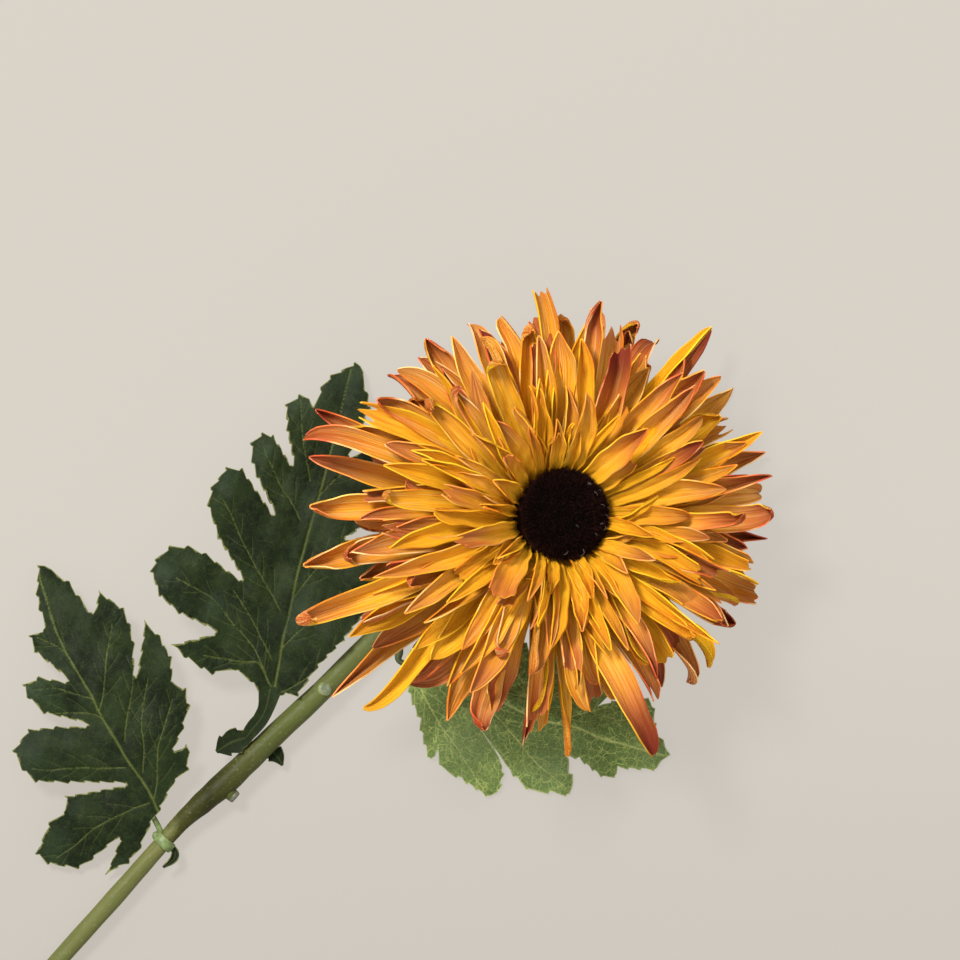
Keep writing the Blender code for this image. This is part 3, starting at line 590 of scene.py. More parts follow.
@dataclass(frozen=True)
class LeafCloth:
    """Printed leaf cloth with main veins, a fine net between them and cloudy patches, and patches of
    painted sheen.
    """

    name: str
    slot: str
    deep: Colour
    mid: Colour
    vein: Colour
    net: Colour
    net_share: float
    haze: Colour
    back_tint: Colour
    rim: Colour
    net_per_unit: float = 44.0
    wobble: float = 0.03
    weave_depth: float = 0.00012
    grain_stops: Stops = ((0.3, 0.72, 0.72, 0.72), (0.7, 1.15, 1.15, 1.1))

    def _ground(self, side: str) -> tuple[Sheet, Number, Number]:
        """Ground print shared by the cloth's sides.

        Args:
            side: end of the material's name.

        Returns:
            Its sheet, the mask of the main veins and that of the net.
        """
        sheet = Sheet(self.name + side)
        clouds = sheet.noise(sheet.place, 95.0, 3.0, 0.6)
        patches = sheet.noise(sheet.place, 480.0, 2.0, 0.6)
        sheet.colour = sheet.blend(clouds.ramp(0.36, 0.62), self.deep, self.mid)
        sheet.cover(patches.ramp(0.5, 0.75) * 0.22, self.net)
        wobble = sheet.noise(sheet.uv, 30.0, out="Color")
        bent = sheet.node("Mix", {"data_type": "VECTOR"},
                          {0: self.wobble, 4: sheet.uv, 5: wobble}).outputs[1]
        patchy = patches.ramp(0.38, 0.62, 0.5, 1.0)
        net = sheet.net(bent, self.net_per_unit, 0.075) * patchy
        fine = sheet.net(bent, self.net_per_unit * 1.9, 0.09) * patchy
        sheet.cover((net + fine * 0.7) * self.net_share, self.net)
        vein = sheet.carried("vein").ramp(0.05, 0.95)
        sheet.cover(vein * 0.85, self.vein)
        return sheet, vein, net

    def face(self) -> Material:
        """Upper side."""
        sheet, vein, net = self._ground("")
        # Painted sheen: grey-green reflection on the curled lobes.
        sheet.cover(sheet.carried("haze") * 0.45, self.haze)
        sheet.cover(sheet.carried("edge").ramp(0.2, 1.0) * 0.8, self.rim)
        grain = sheet.noise(sheet.place, 2400.0, 2.0, 0.7)
        sheet.cover(1.0, sheet.colour_ramp(grain, self.grain_stops), "MULTIPLY")
        sheet.relief(grain * 0.5 - net * 0.35 - vein * 0.3, self.weave_depth, 0.8)
        return sheet.dress(0.62, 0.12)

    def back(self) -> Material:
        """Under side, paler."""
        sheet, vein, net = self._ground(" back")
        sheet.cover(0.55, self.back_tint)
        sheet.relief(vein + net * 0.4, self.weave_depth, 0.8)
        return sheet.dress(0.68)

    def cut_edge(self) -> Material:
        """Cut edge, where the undyed cloth shows."""
        sheet = Sheet(self.name + " edge", self.mid)
        sheet.cover(sheet.mottle(700.0, 2.0, 0.35, 0.7), self.rim)
        return sheet.dress(0.7)

    def finish(self, piece: Piece, thickness: float, *nodes: str) -> None:
        """Make a flat piece of the cloth, in the plan, into a finished one."""
        thickened(piece, (self.face(), self.back(), self.cut_edge()), thickness)
        finished(piece, self.slot, *nodes)


@dataclass(frozen=True)
class StemPlastic:
    """Moulded stem plastic whose tint changes along it, with faint streaks and specks."""

    stops: Stops
    speck: Colour = (0.42, 0.44, 0.28)
    dark: Colour = (0.045, 0.055, 0.012)

    def face(self) -> Material:
        """The stem's finish; its ramp runs along the stem."""
        sheet = Sheet("stem plastic")
        streak = sheet.noise(sheet.vector(sheet.across * 9.0, sheet.along * 2.0, 0.0), 3.0, 3.0)
        mottle = sheet.noise(sheet.place, 420.0, 3.0, 0.6)
        share = sheet.carried("share") + (mottle - 0.5) * 0.05
        sheet.colour = sheet.colour_ramp(share, self.stops)
        sheet.cover(streak.ramp(0.52, 0.75) * 0.4, self.dark)
        sheet.cover(sheet.mottle(1300.0, 2.0, 0.60, 0.72) * 0.12, self.speck)
        sheet.relief(streak + mottle * 0.6, 0.0002, 0.5)
        return sheet.dress(mottle.ramp(0.3, 0.7, 0.46, 0.60), 0.17)


@dataclass(frozen=True)
class GreenPlastic:
    """Moulded green plastic of one tint, with a darker mottle."""

    name: str
    light: Colour
    dark: Colour
    scale: float = 380.0

    def face(self) -> Material:
        """The finish."""
        sheet = Sheet(self.name, self.dark)
        mottle = sheet.noise(sheet.place, self.scale, 3.0, 0.6)
        grain = sheet.noise(sheet.place, 2200.0)
        sheet.cover(mottle.ramp(0.36, 0.68), self.light)
        sheet.relief(mottle * 0.7 + grain * 0.3, 0.00015, 0.6)
        return sheet.dress(0.5)


# Bloom


class PetalCut(Enum):
    """How a petal is cut: its width along it, and the bend of its end, low and high.

    Places along the petal and widths are shares. The bend is in degrees; above 0 it turns up.
    """

    POINTED = ("0,.5 .25,.78 .5,.97 .68,1 .8,.86 .9,.58 .97,.24 1,.03", -50.0, 45.0)
    ROLLED = ("0,.5 .25,.74 .5,.92 .75,1 .88,.9 .95,.66 1,.22", 70.0, 150.0)
    NOTCHED = ("0,.5 .25,.74 .5,.94 .75,1 .9,.86 1,.56", -25.0, 45.0)
    SQUARE = ("0,.5 .25,.74 .5,.9 .75,.97 .92,1 1,.9", -20.0, 35.0)
    NARROW = ("0,.62 .3,.78 .6,.95 .85,.86 .95,.7 1,.28", -50.0, 50.0)
    OPEN = ("0,.5 .3,.72 .55,.94 .75,1 .88,.9 .95,.64 1,.14", -8.0, 8.0)

    def __init__(self, widths: str, *hook: float) -> None:
        """Keep the widths and the bend."""
        self.widths, self.hook = read(widths), hook


class Dye(Enum):
    """Tint of a petal: redness of its tip, paleness, and brownness, which is partly the cloth's
    brown and partly painted shade on petals that lie in shadow.
    """

    YELLOW = (0.05, 0.05, 0.0)
    GOLD = (0.28, 0.22, 0.05)
    PEACH = (0.45, 0.75, 0.0)
    ORANGE = (0.58, 0.15, 0.05)
    PINK = (0.80, 0.55, 0.12)
    RED = (1.0, 0.10, 0.08)
    BROWN = (0.50, 0.10, 0.32)
    MAROON = (1.2, 0.0, 0.2)


# Petals that are measured, the outermost first. Direction of the tip in degrees and its reach,
# both from the disc's centre; turn of the tip from the root; ring, or a place between two;
# width; cut; dye; yellow of the left or upper edge, as seen, and of the other one.
MEASURED = {
    "petals_outer": """
96.8 56.7 4 3 5 square brown 1 .3; 114.7 50.3 2 4 5.5 pointed maroon .3 .1;
122.8 51.7 -5 3 5.5 pointed orange .9 .1; 132.9 53.2 3 4 6 pointed pink .2 .2;
131.3 46.9 -12 3 6.6 pointed red .1 .2; 143.1 46.6 -8 4 5 rolled brown .2 .4;
153.1 57.5 7 3 6.5 notched gold .7 .3; 157.6 62.4 -4 5 4.2 rolled red .1 .1;
162.6 67.6 3 4 6 pointed pink .3 .2; 167.6 65.4 -2 5 6.5 pointed red .2 .5;
180 62.8 3 4 7 rolled orange .8 .3; 191.6 63.5 2 5 7.5 rolled orange .4 .6;
200.8 71.7 -4 3 7 rolled pink .2 .9; 209 61.4 0 4 7 pointed gold .5 .8;
218.1 73 3 5 7 pointed pink .3 .6; 225.4 69.1 4 4 6 pointed gold 1 .1;
228.5 58.4 2 5 6 pointed maroon .5 .1; 238.9 58.1 3 4 6.5 pointed orange .4 .3;
246.6 56.4 4 3 6.5 rolled red .2 .3; 259.2 58.5 2 4 5 pointed maroon .1 .1;
263.6 49.3 0 3 4.4 narrow yellow 1 1; 269.8 60.3 3 4 3.4 narrow peach .2 .3;
290.1 63.9 8 2.7 7 open maroon .9 0; 299 49.5 -6 4 5.5 pointed maroon .2 .2;
307.8 53.5 -4 4 6.5 pointed pink .3 .2; 316.3 52.1 2 3 5.5 narrow yellow 1 1;
324.3 47.1 -3 5 6 rolled maroon .3 .1; 337 54.4 3 5 6.8 square orange .8 .3;
341.2 48.9 -4 3 6 square gold .6 .9; 352.9 50.5 2 5 6 pointed maroon .3 .1;
359.4 49.3 5 3 6.6 rolled red 1 .2; 5.8 51.5 -3 4 6 pointed orange .6 .3;
10 52 3 3 5 pointed red .6 .4; 17.3 52.1 -2 5 6 pointed pink .2 .3;
22.3 52 4 3 5 pointed gold .8 .4; 36.1 53.5 3 5 6 pointed brown .2 .3;
41.1 51.4 -3 3 5.8 pointed orange .3 .1; 50.9 58.3 -6 3 3.4 narrow yellow 1 1;
52 57.5 3 4 5 pointed maroon .1 .4; 63.6 43.8 4 3 5.6 notched brown .9 .3;
71.9 43.8 8 2 7.6 square maroon .3 .2; 80.5 53 -3 4 6.2 pointed pink .2 .3;
83.1 47.8 -5 3 5.5 pointed gold .4 .7
""",
    "petals_inner": """
95.6 23.2 1 0 3.8 pointed brown .2 1; 114.4 29.4 11 1 3.2 narrow peach .5 .8;
113.5 23.5 2 0 2.6 pointed brown .5 .2; 128.7 29.2 3 1 5.8 pointed pink .2 .1;
126.8 33.8 -14 1 2.8 pointed yellow 1 .8; 123.2 41.8 -18 2 4.4 pointed orange 1 .1;
128.2 47.8 -18 2 2.8 narrow gold .9 .5; 160 38.5 1 1.4 4.2 rolled gold 1 1;
152.4 31 1 1 2.2 pointed peach .8 .3; 145.6 28.5 -26 1 3 pointed gold .9 .4;
155.4 19.5 0 0 4.6 pointed brown 1 .2; 168.7 30.9 -6 1 4.6 notched orange .3 .8;
80.1 29.8 6 .5 5.6 pointed peach .2 .6; 84.8 22.1 -2 0 1.9 narrow yellow 1 1;
98.7 44.5 -2 2 5.8 pointed orange .3 .1; 92.6 44.8 2 2 7.4 pointed peach 1 .5;
95.2 33.5 -8 1 1.8 narrow yellow 1 1; 101 33.6 -9 1 3 pointed gold 1 .6;
61.2 27.9 -9 .5 2.2 pointed yellow .8 1; 67.9 29.2 0 1 2.2 pointed gold .7 .9;
51 44.5 -3 2 5.5 pointed pink .2 .9; 45.8 29.1 -3 .5 6.2 pointed pink 1 .2;
44.5 44.4 1 2 6.2 pointed pink .2 .2; 27.4 37.5 2 1.4 3.8 rolled maroon 1 .2;
27 30.5 2 1 1.9 pointed yellow 1 1; 22.4 36.2 9 1.4 3.4 pointed brown .2 .8;
12.4 22.9 26 0 2 narrow yellow 1 1; 15 43 3 2 4 pointed peach .3 .5;
8 40 -3 2 4.6 pointed peach .6 .3; 193 28.5 -4 .5 5 notched pink 1 .2;
213 20.1 -2 0 2.7 pointed brown .2 1; 216.6 35.9 -1 1.4 3.8 pointed gold 1 .4;
231 27.5 9 .5 6.8 square orange .1 1; 237.4 19.3 -24 0 3.8 pointed brown .2 .8;
245.6 23.9 -5 0 3 pointed brown .7 .3; 252.8 29.5 -4 1 3.6 pointed orange .4 .5;
257.9 28.9 -3 .5 2.2 narrow yellow 1 .7; 263 33.2 1 1 3.2 pointed pink .3 .3;
242.5 48.8 0 2 7.2 pointed pink .1 1; 236 47 -3 2 5.8 pointed peach .8 .3;
232.5 42.3 4 2 5 pointed peach .2 .6; 222 50 -3 3 5.4 pointed gold .5 1;
211 47 4 2 5 pointed orange .2 .9; 347.2 18.1 25 0 2.4 narrow peach .7 .9;
341.4 38 -12 1.4 3 notched gold 1 .4; 335.2 37.4 -8 1.4 4.6 square gold .9 .3;
331 41.1 -4 2 3.2 pointed brown .4 .6; 325.3 45.3 0 2 5.4 rolled red .4 .8;
332.8 24.5 6 0 3 pointed pink .8 .2; 324 38.6 0 2 5 square brown .3 1;
320.1 48.5 7 2 4.8 pointed gold 1 .3; 302.9 32.3 -13 .7 5 pointed orange 1 .1;
302.9 24.8 2 .5 3.6 pointed gold .5 .3; 295.6 23.5 0 0 2.6 pointed brown .3 .6;
286 29.6 5 1 2.6 notched yellow .8 1; 288 35.5 5 1.4 4.2 pointed gold .2 1;
285.8 36.3 14 1.4 2.4 pointed gold .3 1; 294.5 37 2 1.4 2.8 pointed brown .7 .3;
298.4 46.3 -6 2 5.6 pointed red .3 .1; 274 43 2 2 4.6 pointed orange .2 .8;
184 42 -4 2 5.6 pointed pink .5 .2; 176 46 3 2 5.4 rolled peach .4 .7;
190.5 45 4 2 5.2 pointed gold .8 .4; 165 47 3 2 6.2 pointed gold .5 .9;
198.5 50 -5 2 5.4 pointed orange .4 .8; 357 43 4 2 5 rolled red .9 .3;
350.5 36 5 1.4 4 pointed orange .4 .2; 35 42 2 2 4.6 pointed brown .4 .3
""",
}


@dataclass
class Petal:
    """One petal: where it springs from the core, how it rises, and how its cloth is cut."""

    level: float
    azimuth: float
    root: float
    height: float
    lift: float
    tip_lift: float
    length: float
    width: float
    cup: float
    sweep: float
    twist: float
    cut: PetalCut | None = None
    dye: Dye = Dye.ORANGE
    # Yellow of the edge on the side counter-clockwise of the petal, and on the other.
    gild: tuple[float, float] = (0.5, 0.5)
    fold: float = 0.2
    hook: float = 0.0
    sway: float = 0.1
    ribs: int = 3
    rib_height: float = 0.2
    ripple: float = 0.4
    phase: float = 0.0
    tone: float = 0.5


@dataclass(frozen=True)
class Bloom:
    """The bloom's own frame, whose Z is the flower's axis, and its petals."""

    centre: Point = (15.7, -9.7, 23.4)
    lean_deg: float = 15.0
    lean_towards_deg: float = 15.0
    disc_height: float = 21.7
    # How many, root radius and height, rise at root and tip in degrees, length, width.
    rings: Places = (
        (10, 11.9, 12.0, 76.0, 34.0, 17.5, 3.6), (14, 12.2, 11.0, 60.0, 8.0, 27.0, 4.6),
        (24, 12.6, 9.0, 44.0, -4.0, 36.0, 5.4), (30, 13.0, 6.5, 27.0, -12.0, 42.0, 6.0),
        (26, 13.0, 3.5, 12.0, -20.0, 44.0, 6.2), (20, 12.4, 0.8, -5.0, -36.0, 40.0, 6.0))
    # Turn of each ring from the one before. How far its petals stray: in place, as a share of the
    # way to the next, in height, in rise at root and tip; shares of length and width; cup, sweep
    # and twist in degrees.
    ring_turn_deg: float = 7.0
    strays: Places = ((-0.3, 0.3), (-0.8, 0.8), (-7.0, 3.0), (-14.0, 6.0), (0.80, 0.97), (0.9, 1.2),
                      (0.25, 0.6), (-0.16, 0.16), (-25.0, 25.0))
    seed: int = 35
    root_reach: float = 1.5
    floor_clearance: float = 0.7
    floor_ease: float = 2.0
    floor_reach: float = 12.0

    def turned(self) -> Matrix:
        """How the bloom's frame is turned in the plan."""
        towards = math.radians(self.lean_towards_deg)
        hinge = Vector((-math.sin(towards), math.cos(towards), 0.0))
        return Matrix.Rotation(math.radians(self.lean_deg), 4, hinge)

    def to_plan(self, points: Array) -> Array:
        """Points of the bloom's frame in the plan."""
        matrix = np.array(Matrix.Translation(Vector(self.centre)) @ self.turned())
        return points @ matrix[:3, :3].T + matrix[:3, 3]

    def on_axis(self, height: float) -> Array:
        """Place on the flower's axis, in the plan."""
        return self.to_plan(np.array([[0.0, 0.0, height]]))[0]

    def above_floor(self, height: Array) -> Array:
        """Heights kept above the surface, eased in over the last few millimetres."""
        over = height - self.floor_clearance
        kept = self.floor_clearance + self.floor_ease * np.log1p(
            np.exp(np.minimum(over, self.floor_reach) / self.floor_ease))
        return np.where(over < self.floor_reach, kept, height)

    def middle_line(self, petal: Petal, share: Array) -> Array:
        """Points of a petal's middle line.

        Args:
            petal: the petal.
            share: shares of its length.

        Returns:
            Points in the plan.
        """
        rise = math.radians(petal.lift)
        bend = math.radians(petal.tip_lift) - rise
        at = rise + bend * share
        out = petal.root + petal.length * (np.sin(at) - math.sin(rise)) / bend
        out = out - self.root_reach * (1.0 - np.minimum(share, 1.0)) ** 2
        up = petal.height + petal.length * (math.cos(rise) - np.cos(at)) / bend
        aside = petal.sweep * petal.length * share * share
        turn = math.radians(petal.azimuth)
        points = self.to_plan(np.stack((out * math.cos(turn) - aside * math.sin(turn),
                                        out * math.sin(turn) + aside * math.cos(turn), up), axis=1))
        points[:, 2] = self.above_floor(points[:, 2])
        return points

    def aim(self, petal: Petal, direction: float, reach: float, turn: float) -> None:
        """Turn, stretch and sweep a petal until its tip is where it should be.

        Args:
            petal: the petal.
            direction: its tip's, from the disc's centre, in degrees.
            reach: how far its tip is from there, seen from above.
            turn: turn of the tip from the root, in degrees.
        """
        for _ in range(10):
            petal.sweep = reach * math.sin(math.radians(turn)) / petal.length
            offset = self.middle_line(petal, np.array([1.0]))[0] - self.on_axis(self.disc_height)
            miss = direction - math.degrees(math.atan2(offset[1], offset[0]))
            petal.azimuth += (miss + 180.0) % 360.0 - 180.0
            petal.length += reach - math.hypot(offset[0], offset[1])

    def measured(self, row: str, draw: random.Random) -> Petal:
        """One measured petal.

        Args:
            row: its values, in the order given above.
            draw: source of the values not measured.

        Returns:
            The petal, aimed at its tip.
        """
        *sizes, cut, dye, left, right = row.split()
        direction, reach, turn, level, width = map(float, sizes)
        lower = min(int(level), len(self.rings) - 2)
        _, root, height, lift, tip_lift, length, _ = (
            a + (b - a) * (level - lower) for a, b in zip(self.rings[lower], self.rings[lower + 1]))
        petal = Petal(level, direction - turn, root, height, lift + draw.uniform(-3.0, 3.0),
                      tip_lift + draw.uniform(-5.0, 5.0), length, width, draw.uniform(0.25, 0.5),
                      0.0, draw.uniform(-18.0, 18.0), PetalCut[cut.upper()], Dye[dye.upper()])
        way = math.radians(direction)
        gild = (float(left), float(right))
        petal.gild = gild if math.sin(way) + math.cos(way) > 0.0 else gild[::-1]
        self.aim(petal, direction, reach, turn)
        return petal

    def petals(self) -> dict[str, list[Petal]]:
        """Petals of each piece: the measured ones, then the rings."""
        draw = random.Random(self.seed)
        groups = {name: [self.measured(row, draw) for row in rows.split(";")]
                  for name, rows in MEASURED.items()}
        for ring, (count, root, height, lift, tip_lift, length, width) in enumerate(self.rings):
            members = groups[f"petals_ring_{ring + 1}"] = []
            for index in range(count):
                place, up, rise, tip_rise, long, wide, *form = (
                    draw.uniform(*stray) for stray in self.strays)
                members.append(Petal(
                    ring, 360.0 * (index + place) / count + self.ring_turn_deg * ring, root,
                    height + up, lift + rise, tip_lift + tip_rise, length * long, width * wide,
                    *form))
        return groups


@dataclass(frozen=True)
class PetalTailor:
    """Chooses each petal's cut, folds and dye, and forms its cloth."""

    bloom: Bloom
    seed: int = 7
    cuts: str = "POINTED POINTED POINTED POINTED ROLLED ROLLED NOTCHED SQUARE NARROW"
    ring_dyes: tuple[str, ...] = (
        "YELLOW GOLD GOLD BROWN ORANGE", "YELLOW GOLD GOLD ORANGE PEACH BROWN",
        "GOLD PEACH ORANGE ORANGE PINK PINK BROWN", "ORANGE PEACH GOLD PINK PINK RED",
        "ORANGE PINK RED PINK PEACH BROWN", "RED MAROON BROWN PINK ORANGE")
    # What is drawn for each petal; heights are those of a petal of full width.
    gilds: tuple[float, ...] = (0.25, 0.6, 1.0)
    folds: tuple[float, ...] = (0.1, 0.35, 0.6, 0.9)
    rib_counts: tuple[int, ...] = (2, 3, 3, 4, 5)
    rib_heights: tuple[float, float] = (0.22, 0.52)
    ripple_heights: tuple[float, float] = (0.15, 0.75)
    full_width: float = 6.0
    most_sway: float = 0.18
    narrow_twist_deg: tuple[float, float] = (45.0, 75.0)
    hook_from: float = 0.74
    # The upright petals nearest the disc bend less, and no cloth goes past the highest tip.
    calm_level: float = 1.5
    calm: float = 0.4
    top: tuple[float, float] = (56.0, 6.0)
    fullness: float = 1.2
    # How often a petal sways and ripples along its length.
    sways: float = 1.25
    ripples: float = 1.9
    # Uneven sides: share of the width, waves along. Wrinkles: height, waves along and across.
    uneven: tuple[float, float] = (0.06, 19.0)
    wrinkles: Point = (0.10, 31.0, 5.0)
    lowest: float = 0.35
    stations: int = 61
    columns: int = 14
    rows: int = 24
    thickness: float = 0.34
    core: Places = read("0.1,13 9,12.6 11.6,10.5 14.6,8.5 16,6 16.4,3 14.4,-1 12.6,-3 0.1,-3")

    def choose(self, petals: list[Petal]) -> None:
        """Draw each petal's folds and ripples, and the cut and dye of those without.

        Args:
            petals: all the petals, in order.
        """
        draw = random.Random(self.seed)
        for petal in petals:
            cut, dye = draw.choice(self.cuts.split()), draw.random()
            sides = (draw.choice(self.gilds) * draw.uniform(0.7, 1.0), draw.uniform(0.0, 0.25))
            if petal.cut is None:
                dyes = self.ring_dyes[petal.level].split()
                petal.cut, petal.dye = PetalCut[cut], Dye[dyes[int(dye * len(dyes))]]
                petal.gild = sides if dye * 97.0 % 1.0 < 0.5 else sides[::-1]
            petal.fold = draw.choice(self.folds) * draw.uniform(0.6, 1.2)
            petal.hook = math.radians(draw.uniform(*petal.cut.hook))
            petal.sway = draw.uniform(-self.most_sway, self.most_sway)
            if petal.level < self.calm_level:
                petal.hook, petal.sway = petal.hook * self.calm, petal.sway * self.calm
            petal.ribs = draw.choice(self.rib_counts)
            petal.rib_height = draw.uniform(*self.rib_heights) \
                * min(petal.width, self.full_width) / self.full_width
            petal.ripple = draw.uniform(*self.ripple_heights) * petal.width / self.full_width
            petal.phase, petal.tone = draw.random(), draw.random()
            if petal.cut is PetalCut.OPEN:
                petal.fold, petal.twist, petal.rib_height = 0.15, -6.0, 0.15
            if petal.cut is PetalCut.NARROW:
                petal.twist = math.copysign(draw.uniform(*self.narrow_twist_deg), petal.twist)

    def frames(self, petal: Petal, share: Array) -> tuple[Array, Array, Array]:
        """Middle, side and normal along a petal, with its sway and its bent end.

        Args:
            petal: the petal.
            share: even shares of its length.

        Returns:
            Three arrays of points and directions in the plan.
        """
        middle = self.bloom.middle_line(petal, share)
        tangent = unit(self.bloom.middle_line(petal, share + 0.01) - middle)
        axis = np.array(self.bloom.turned().to_3x3() @ Vector((0.0, 0.0, 1.0)))
        side = unit(np.cross(axis, tangent))
        turn = (np.radians(petal.twist) * share)[:, None]
        side = side * np.cos(turn) + np.cross(tangent, side) * np.sin(turn)
        normal = np.cross(tangent, side)
        sway = petal.sway * np.sin(TURN * (self.sways * share + petal.phase))
        bend = petal.hook * eased(share, self.hook_from, 1.0) + sway * eased(share, 0.1, 0.4)
        cos, sin = np.cos(bend)[:, None], np.sin(bend)[:, None]
        steps = np.linalg.norm(np.diff(middle, axis=0), axis=1, keepdims=True)
        way = tangent * cos + normal * sin
        flat_share = np.clip((np.cumsum(cos[1:]) / (len(cos) - 1)).max(), 0.75, 1.0)
        places = middle[0] + np.concatenate(
            (np.zeros((1, 3)), np.cumsum(0.5 * (way[1:] + way[:-1]) * steps / flat_share, axis=0)))
        return places, side, normal * cos - tangent * sin

    def end_share(self, petal: Petal, across: Array) -> Array:
        """Where each lengthwise line of a petal ends.

        Args:
            petal: the petal.
            across: places across it, from -1 to 1.

        Returns:
            Shares of its length.
        """
        wave = petal.phase * TURN
        if petal.cut is PetalCut.NOTCHED:
            return 1.0 - 0.055 * (1.0 + np.cos(across * TURN + wave))
        if petal.cut is PetalCut.SQUARE:
            return 0.95 - 0.05 * across * math.cos(wave) - 0.015 * np.sin(across * 9.0 + wave)
        return 1.0 - 0.012 * np.sin(across * 7.0 + wave) ** 2

    def form(self, petal: Petal, blank: Array) -> tuple[Array, Array]:
        """Form a petal's cloth.

        Args:
            petal: the petal.
            blank: the flat blank's vertices, from -1 to 1 both ways.

        Returns:
            The vertices' places in the plan, and how far each is up a rib, 0 to 1.
        """
        across = blank[:, 0]
        share = ((blank[:, 1] + 1.0) / 2.0) ** 0.85 * self.end_share(petal, across)
        table = np.linspace(0.0, 1.0, self.stations)
        middle, side, normal = (
            np.stack([np.interp(share, table, axis) for axis in values.T], axis=1)
            for values in self.frames(petal, table))
        wave = petal.phase * TURN
        half = 0.5 * self.fullness * petal.width * np.interp(share, *zip(*petal.cut.widths))
        unevenness, waves = self.uneven
        half = half * (1.0 + unevenness * np.sin(waves * share + wave + 1.7 * np.sign(across)))
        rolled = petal.cut is PetalCut.ROLLED
        curl = 2.0 * petal.cup * (1.0 + (1.3 if rolled else 0.5) * eased(share, 0.45, 1.0))
        crease = petal.fold * (0.55 + 0.6 * eased(share, 0.3, 0.9)) * (0.5 if rolled else 1.0)
        away = np.sqrt(across ** 2 + 0.006) - 0.077
        span = np.sin(curl * across) / curl * np.cos(crease)
        rise = (1.0 - np.cos(curl * across)) / curl + away * np.sin(crease)
        body = eased(share, 0.02, 0.2) * (1.0 - eased(share, 0.90, 1.0))
        rib = np.abs(np.cos(petal.ribs * math.pi / 2.0 * across + wave + 1.2 * share)) ** 1.4
        lift = half * rise + petal.rib_height * rib * body
        lift += petal.ripple * across * np.sin(TURN * (self.ripples * share + petal.phase)) \
            * eased(share, 0.15, 0.8)
        wrinkle, along, aside = self.wrinkles
        lift += wrinkle * np.sin(along * share + aside * across + wave) * body
        points = middle + side * (half * span)[:, None] + normal * lift[:, None]
        start, room = self.top
        over = np.maximum(points[:, 2] - start, 0.0)
        points[:, 2] -= over - room * (1.0 - np.exp(-over / room))
        points[:, 2] = np.maximum(points[:, 2], self.lowest)
        return points, rib * body

    def sew(self, name: str, petals: list[Petal], finish: Sequence[Material], slot: str,
            node: str) -> None:
        """Form petals from one blank and join them into a finished piece of cloth.

        Args:
            name: the piece's name.
            petals: its petals.
            finish: the cloth's face, back and cut edge.
            slot: the record's material slot.
            node: the node that the piece replaces.
        """
        blank = grid("petal_blank", self.columns, self.rows)
        flat = corners(blank)
        made = []
        for petal in petals:
            points, rib = self.form(petal, flat)
            made.append(linked("petal", blank.data.copy()))
            reshape(made[-1], points)
            blush, pale, dusk = petal.dye.value
            carry(made[-1], tone=petal.tone, blush=blush, pale=pale, dusk=dusk, ring=petal.level,
                  gild=np.where(flat[:, 0] > 0.0, *petal.gild), rib=rib)
        bpy.data.objects.remove(blank, do_unlink=True)
        whole = joined(name, made)
        thickened(whole, finish, self.thickness)
        pick(whole)
        bpy.ops.object.shade_smooth_by_angle(angle=math.radians(50.0))
        finished(whole, slot, node, angle_deg=0.0)

    def build(self) -> None:
        """Make the bed that the petals stand in and the petals, ring by ring."""
        cloth = PetalCloth()
        finish = (cloth.face(), cloth.back(), cloth.cut_edge())
        groups = self.bloom.petals()
        self.choose([petal for petals in groups.values() for petal in petals])
        for name, petals in groups.items():
            self.sew(name, petals, finish, "petal_cloth", "petals")
        bed = lathed("petal_bed", self.core, 48, self.bloom)
        finished(bed, "petal_cloth", "petals", finish=cloth.bed(), angle_deg=40.0)


def lathed(name: str, profile: Places, sides: int, bloom: Bloom) -> Piece:
    """Round piece on the bloom's axis: a circle, extruded and resized up its profile.

    Args:
        name: the piece's name.
        profile: radius and height of each ring, from the top down.
        sides: faces round it.
        bloom: the frame that it stands in.

    Returns:
        The closed piece, in the plan.
    """
    first_radius, first_height = profile[0]
    piece = added(name, bpy.ops.mesh.primitive_circle_add, vertices=sides, radius=first_radius,
                  fill_type="NGON")
    steps = []
    for (radius, height), (next_radius, next_height) in zip(profile, profile[1:]):
        share, drop = next_radius / radius, next_height - height
        steps.append(partial(bpy.ops.mesh.extrude_region_move,
                             TRANSFORM_OT_translate={"value": (0.0, 0.0, drop)}))
        steps.append(partial(bpy.ops.transform.resize, value=(share, share, 1.0),
                             center_override=(0.0, 0.0, 0.0)))
    edit(piece, *steps, SELECT_ALL, TURN_OUT)
    reshape(piece, bloom.to_plan(corners(piece) + np.array((0.0, 0.0, first_height))))
    return piece


